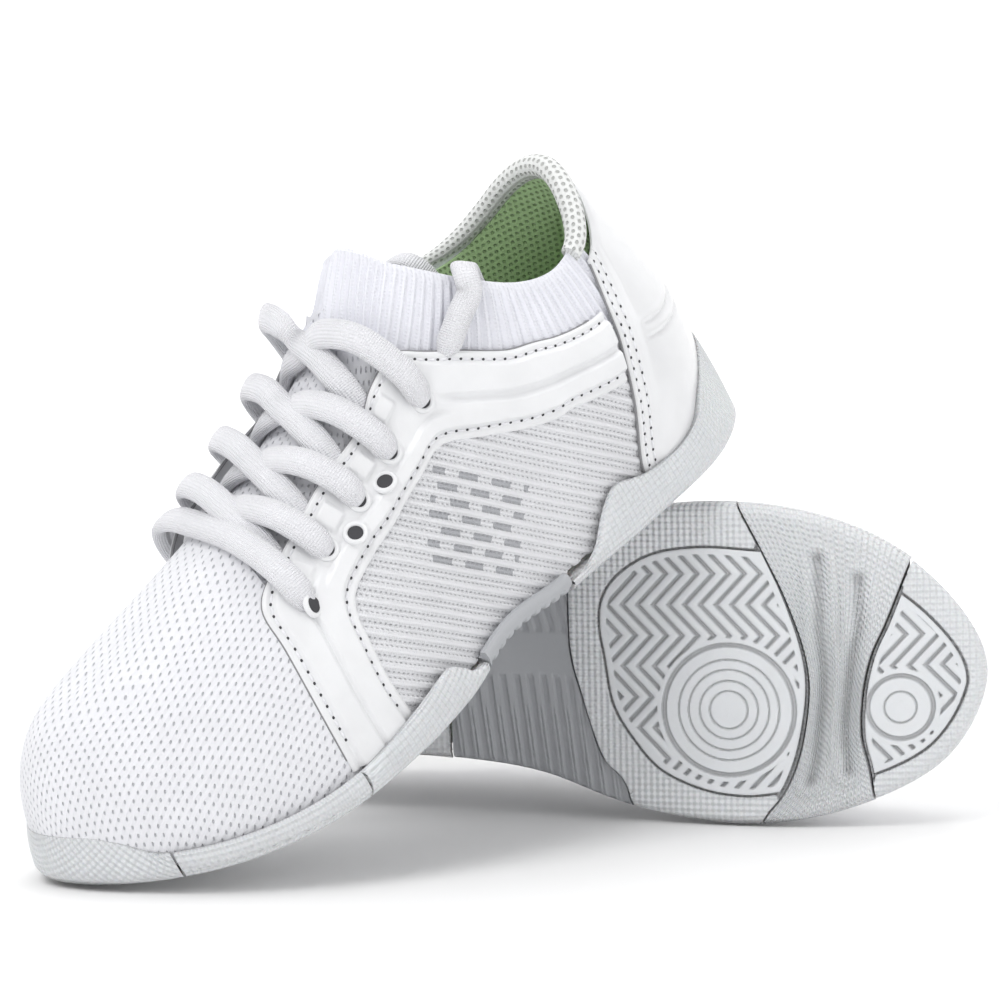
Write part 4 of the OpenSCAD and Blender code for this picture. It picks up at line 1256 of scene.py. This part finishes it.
def build_counter():
    n, m = 240, 90
    e = spline(COUNTER_EDGE, np.linspace(0, 1, m))
    e[:, 1] = np.clip(e[:, 1], .02, 1)
    f = 1 - 2 * np.linspace(0, 1, n)
    st = np.stack([f[:, None] * e[None, :, 0], np.repeat(e[None, :, 1], n, 0)], -1)
    g = lifted(st, 3.6)
    _, down, along = mm_across(g)
    da, db = along, along[-1:] - along
    edge = np.minimum(da, db)
    h = 1.05 - .5 * (1 - smooth(edge / .6)) - .35 * (bell(edge, 1.9, .45) + bell(edge, 4.6, .45))
    h = h + .55 * smooth((edge - 6) / 3) * smooth(down / 4) - .5 * (1 - smooth(down / .8))
    s, t = np.abs(st[..., 0]), st[..., 1]
    for k in (0, 1):
        along_arc = np.clip((s - 1.1 - .08 * k) / .9, 0, 1)
        x = t - (.515 - .045 * k + .09 * along_arc ** 1.6)
        h = h - .6 * bell(x, 0, .011) * band(s, 1.1 + .08 * k, 2.02 + .1 * k, .12)
        h = h + .3 * bell(x, .02, .012) * band(s, 1.1, 2.05, .12)
    outer = lifted(st, 3. + h)
    sheet("heel_counter", M_COUNTER, "gloss_leather", outer, lifted(st, 2.9))
    threads, holes = Part(), Part()
    k = grid_normals(outer, np.array([50, 0, 30.]))
    turned, kt, a, b = outer.swapaxes(0, 1), k.swapaxes(0, 1), da.T, db.T
    for at in (1.9, 4.6):
        for low_at, top_at_ in ((at, None), (None, at)):
            p = surface_rows(turned, a, b, low_at=low_at, top_at_=top_at_)
            q = surface_rows(kt, a, b, low_at=low_at, top_at_=top_at_)
            stitch_row(threads, holes, p[6:-2], q[6:-2], pitch=3.1)
    threads.build("counter_stitches", M_STITCH, "root", "gloss_leather")
    # needle holes in painted shade
    holes.build("counter_holes", M_HOLE_SHADE, "root", "gloss_leather")
    rims = Part()
    for turn in (1, -1):
        p = lifted(np.stack([e[:, 0] * turn + .012 * turn, e[:, 1]], -1)[None], 3.55)[0]
        q = lifted(np.stack([e[:, 0] * turn, e[:, 1]], -1)[None], 6)[0] - p
        rims.add(*tube(p[2:-1], q[2:-1], .5, .85, sides=8))
    rims.build("counter_edges", M_EDGE, "root", "gloss_leather")


def build_collar():
    s = np.linspace(-2.75, 2.12, 120)
    p = upper(s, np.full(120, .985)) + np.array([0, 0, 1.2])
    k = upper_normal(s, np.full(120, .9))
    fat = 7.2 - 2.4 * np.abs(s / 2.4) ** 3
    Part().add(*tube(p + k * 1.6, k, fat, fat * .92, sides=28, squareness=2.1)).build(
        "collar_foam", M_COLLAR, "root", "foam", ["collar_foam"])
    low, high = dense([(-3.6, .28), (0, .28), (2.9, .28)], 30), dense([(-3.4, .96), (0, .97), (2.7, .96)], 30)
    st = index_patch(low, high, 200, 60)
    swell = 1.6 * np.sin(np.pi * np.clip((st[..., 1] - .45) / .55, 0, 1)) ** 2
    oval = np.hypot(st[..., 0] / 1.05, (st[..., 1] - .56) / .26)
    swell = swell + 1.3 * smooth((1 - oval) / .16) - .5 * bell(oval, 1.04, .05)
    outer, inner = lifted(st, .6), lifted(st, -.6 - swell)
    sheet("collar_lining", M_LINING, "lining_mesh", outer, inner)


def plate_in(name, material, slot, inset, low, high, crown, blend):
    """Flat or cupped layer under the foot that follows the outline."""
    s = np.linspace(-10, 10, 260, endpoint=False)
    rim = outline(s) - outward(s) * inset
    middle_y = np.interp(rim[:, 0], [0, 60, 150, 249], [0, 1.5, 1, -4])
    centre = np.column_stack([np.clip(rim[:, 0], 30, 215), middle_y])
    rows = []
    for z, shares in ((high, np.linspace(0, 1, 12)[::-1]), (low, np.linspace(0, 1, 12))):
        for q in shares:
            xy = centre + (rim - centre) * (1 - q)
            lift = crown * (1 - q) ** 3 * (z == high)
            rows.append(np.column_stack([xy, z + lift + ground(xy[:, 0])]))
    g = np.stack(rows, 1)
    k, m = g.shape[:2]
    faces = quads(k, m, closed=True)
    points = g.reshape(-1, 3)
    top_ring, low_ring = [i * m for i in range(k)], [i * m + m - 1 for i in range(k)]
    c = g[:, 0].mean(0), g[:, -1].mean(0)
    faces += [[top_ring[i], top_ring[(i + 1) % k], len(points)][::-1] for i in range(k)]
    faces += [[low_ring[i], low_ring[(i + 1) % k], len(points) + 1] for i in range(k)]
    points = np.vstack([points, c[0], c[1]])
    Part().add(points, faces, points[:, :2]).build(name, material, "root", slot, [name], blend=blend)


def build_inside():
    plate_in("insole_board", M_BOARD, "board", 9.3, 4.1, 5.0, 0, TOE_BEND)
    plate_in("insole", M_INSOLE, "insole_foam", 9.6, 5.7, 8.8, 2.2, TOE_BEND)
    low, high = dense([(8.7, .04), (10, .04), (11.3, .04)], 30), dense([(8.9, .42), (10, .5), (11.1, .42)], 30)
    st = index_patch(low, high, 60, 20)
    sheet("toe_puff", M_BOARD, "board", lifted(st, 1.0), lifted(st, .1), st, "toe")
    st = index_patch(dense([(-2.6, .04), (2.6, .04)], 30), dense([(-1.7, .62), (1.7, .62)], 30), 80, 30)
    sheet("heel_stiffener", M_BOARD, "board", lifted(st, 2.6), lifted(st, 1.9), st)


def flare(turn, share):
    """How far the eyestay's free edge stands out from the foot."""
    return (6.5 if turn < 0 else 1.2) * smooth((share - .42) / .58)


TOP_S, TOP_T = [a.ravel() for a in np.meshgrid(np.linspace(3.9, 7.4, 350), np.linspace(.38, 1, 90), indexing="ij")]
TOP_S = np.concatenate([TOP_S, -TOP_S])
TOP_T = np.concatenate([TOP_T, TOP_T])
TOP_XY = upper(TOP_S, TOP_T)[:, :2]


def over_foot(x, y, lift):
    """Point above the upper at a plan position, and its direction away from the foot."""
    k = np.argmin((TOP_XY[:, 0] - x) ** 2 + (TOP_XY[:, 1] - y) ** 2)
    n = upper_normal(TOP_S[k], min(TOP_T[k], .97))[0]
    base = upper(TOP_S[k], TOP_T[k])[0]
    return np.array([x, y, base[2]]) + n * lift, n


def lace_tube(part, points, ups, n, width=8., height=4.1, thin=(True, True)):
    line = dense(np.array(points), n)
    up = spline(np.array(ups), np.linspace(0, 1, n))
    for _ in range(3):
        line[1:-1] = (line[:-2] + 2 * line[1:-1] + line[2:]) / 4
    u = np.linspace(0, 1, n)
    first = smooth(u / .09) if thin[0] else np.ones(n)
    last = smooth((1 - u) / .09) if thin[1] else smooth((1 - u) / .2) * .5 + .5
    w = width * (.5 + .5 * first) * (.5 + .5 * last if thin[1] else .8 + .2 * last)
    h = height * (.6 + .4 * first) * (.6 + .4 * last if thin[1] else last)
    part.add(*tube(line, up, w, h, sides=28, squareness=2.25))


def strand(part, turn, start, end, lifts, n=100):
    """Lace strand that leaves one eyelet and crosses the foot to the other side."""
    s, t = EYELETS[start]
    a = on_upper(turn * s, t, 1.2)[0]
    b = on_upper(-turn * EYELETS[end][0], EYELETS[end][1] if start == end else .575, 1.)[0]
    k = upper_normal(turn * s, t)[0]
    points, ups = [a, a + k * 3.1], [k, k]
    for f, lift in lifts:
        x, y = a[:2] + (b[:2] - a[:2]) * f
        p, m = over_foot(x, y, lift)
        points.append(p)
        ups.append(m)
    if start == end:
        m = upper_normal(-turn * s, t)[0]
        points += [b + m * 3.1, b]
        ups += [m, m]
    lace_tube(part, points, ups, n, thin=(True, start == end))


# (share of the way across, height over the foot) of the front bar, the lateral and the medial strands
BAR_LIFTS = [(.07, 7.4), (.16, 7.4), (.3, 5.8), (.45, 5), (.6, 5.4), (.74, 8.5), (.86, 12.2), (.94, 11.5)]
UNDER_LIFTS = [(.08, 7.6), (.19, 7.4), (.34, 5.4), (.5, 4.4), (.66, 3.6), (.8, 3.2), (.92, 3), (1, 2.6)]
OVER_LIFTS = [(.05, 10.5), (.13, 12.6), (.23, 11.6), (.36, 9), (.5, 6.6), (.64, 4.8), (.8, 3.6), (.92, 3), (1, 2.4)]
# (place, height, lift) of a lace's end over the cuff's rim and down inside
TAIL = [(4.02, .57, 2.2), (3.9, .66, 4.2), (3.74, .8, 5.4), (3.58, .93, 5.4), (3.5, 1, 4.2), (3.44, 1, .4),
        (3.38, 1, -3.4), (3.33, .92, -5.2), (3.3, .8, -6)]


def build_laces():
    part = Part()
    strand(part, 1, 0, 0, BAR_LIFTS, 120)
    for i in range(4):
        strand(part, 1, i + 1, i, UNDER_LIFTS)
        strand(part, -1, i + 1, i, OVER_LIFTS)
    tip = Part()
    for turn in (1, -1):
        back = 0. if turn > 0 else -.45
        over = 2.6 if turn > 0 else 1.6
        rise = np.array([0, 0, 0, 0, over, over + 2.2, over, 0, 0])
        tail = np.array([on_upper(turn * (s + back), t, lift)[0] for s, t, lift in TAIL])
        tail[:, 2] += rise
        side = np.array([upper_normal(turn * (s + back), min(t, .9))[0] for s, t, _ in TAIL])
        facing = np.array([1, 1, 1, 1, .7, 0, -.7, -1, -1])[:, None]
        up = side * facing + np.array([0, 0, 1.]) * (1 - np.abs(facing))
        line = dense(tail, 90)
        for _ in range(6):
            line[1:-1] = (line[:-2] + 2 * line[1:-1] + line[2:]) / 4
        up = spline(up, np.linspace(0, 1, 90))
        d = np.gradient(line, axis=0)
        d /= np.linalg.norm(d, axis=1)[:, None]
        u = np.linspace(0, 1, 90)
        thin = smooth(u / .1) * smooth((1 - u) / .1)
        part.add(*tube(line, up, 4.2 + 3.2 * thin, 2.4 + 1.1 * thin, sides=24))
        way = d[-1]
        at = line[-1] + way * np.linspace(-1.5, 17, 22)[:, None]
        r = np.interp(np.linspace(0, 1, 22), [0, .04, .5, .93, 1], [3.2, 3.5, 3.4, 3.1, 2.2])
        tip.add(*tube(at, np.repeat(up[-1:], 22, 0), r, r, sides=20, squareness=2))
    part.build("lace", M_LACE, "root", "lace_cord", ["lace"])
    tip.build("aglets", M_AGLET, "root", "aglet_plastic", ["aglets"])


def side_dashes(n, u, v):
    """Side knit with short silver dashes, staggered from band to band, in the middle of the panel."""
    shade, height = side_pattern(n, u, v)
    k = n.math("FLOOR", n.div(u, RIB))
    across = n.sub(n.div(u, RIB), k)
    in_band = n.mul(n.math("GREATER_THAN", across, .24), n.math("LESS_THAN", across, .76))
    rows = n.mul(n.math("GREATER_THAN", k, 8.5), n.math("LESS_THAN", k, 15.5))
    at = n.add(v, n.mul(k, DASH_SHIFT))
    at = n.add(at, n.mul(n.noise(n.attribute("loc"), 1.1, 1.), .6))
    mark = n.math("LESS_THAN", n.math("MODULO", at, DASH_PITCH), DASH_LENGTH)
    columns = n.mul(n.math("GREATER_THAN", v, 86.), n.math("LESS_THAN", v, 118.))
    mark = n.mul(mark, columns)
    mark = n.mul(n.mul(mark, rows), in_band)
    return n.math("MAXIMUM", shade, n.mul(mark, .66)), height


DASH_PITCH, DASH_LENGTH, DASH_SHIFT = 11., 6.4, 4.4
M_DASHED = fabric("side_knit_dashes", (.82, .825, .85), (.30, .31, .34), side_dashes, .45)
M_AGLET = plain("aglet_plastic", (.82, .82, .84), .25)

build_vamp()
build_tongue()
build_cuff()
build_side_panels()
build_overlays()
build_counter()
build_collar()
build_inside()
build_laces()


# ---------------------------------------------------------------- floor, light and camera
def floor():
    n = Nodes("pale_floor")
    x, y, _ = n.split(n.node("ShaderNodeNewGeometry").outputs["Position"])
    away = n.math("SQRT", n.add(n.mul(x, x), n.mul(y, y)))
    glow = n.mul(n.ramp(away, .3, .95), .42)
    m = n.finish((.93, .93, .93, 1), .6, Emission_Color=(1, 1, 1, 1), Emission_Strength=glow)
    z = min(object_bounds()[0].z, 0) - .0003
    mesh = bpy.data.meshes.new("studio_floor")
    curve = [(1.2 + 1.2 * math.sin(a), 1.2 - 1.2 * math.cos(a)) for a in np.linspace(.1, math.pi / 2, 14)]
    steps = [(-9, 0), (1.2, 0), *curve, (2.4, 4)]
    points = [(x, y, h + z) for y, h in steps for x in (-9, 9)]
    mesh.from_pydata(points, [], [[2 * i, 2 * i + 1, 2 * i + 3, 2 * i + 2] for i in range(len(steps) - 1)])
    mesh.polygons.foreach_set("use_smooth", np.ones(len(mesh.polygons), bool))
    mesh.materials.append(m)
    o = bpy.data.objects.new("studio_floor", mesh)
    bpy.context.scene.collection.objects.link(o)
    o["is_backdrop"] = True


def area(name, place_, aim, size, power):
    light = bpy.data.lights.new(name, "AREA")
    light.shape, light.size, light.energy = "DISK", size, power
    o = bpy.data.objects.new(name, light)
    o.location = place_
    o.rotation_euler = (Vector(aim) - Vector(place_)).to_track_quat("-Z", "Y").to_euler()
    bpy.context.scene.collection.objects.link(o)


floor()
area("key", (-.7, -.9, 1.3), (0, 0, .05), .9, 11)
area("fill", (1.1, -.8, .7), (0, 0, .08), 1.2, 3.5)
area("top", (.1, .3, 1.5), (0, 0, .05), 1.0, 6)
world = bpy.data.worlds.new("studio")
world.use_nodes = True
world.node_tree.nodes["Background"].inputs[0].default_value = (1, 1, 1, 1)
world.node_tree.nodes["Background"].inputs[1].default_value = .62
bpy.context.scene.world = world

camera = bpy.data.cameras.new("camera")
camera.lens, camera.sensor_width = 95.55, 36
camera.clip_end = 20
eye = bpy.data.objects.new("camera", camera)
eye.location = (-.00843, -.7744, .1307)
eye.rotation_euler = (math.radians(90 - 2.735), 0, 0)
bpy.context.scene.collection.objects.link(eye)
bpy.context.scene.camera = eye
bpy.context.scene.view_settings.view_transform = "Standard"

bpy.context.view_layer.update()
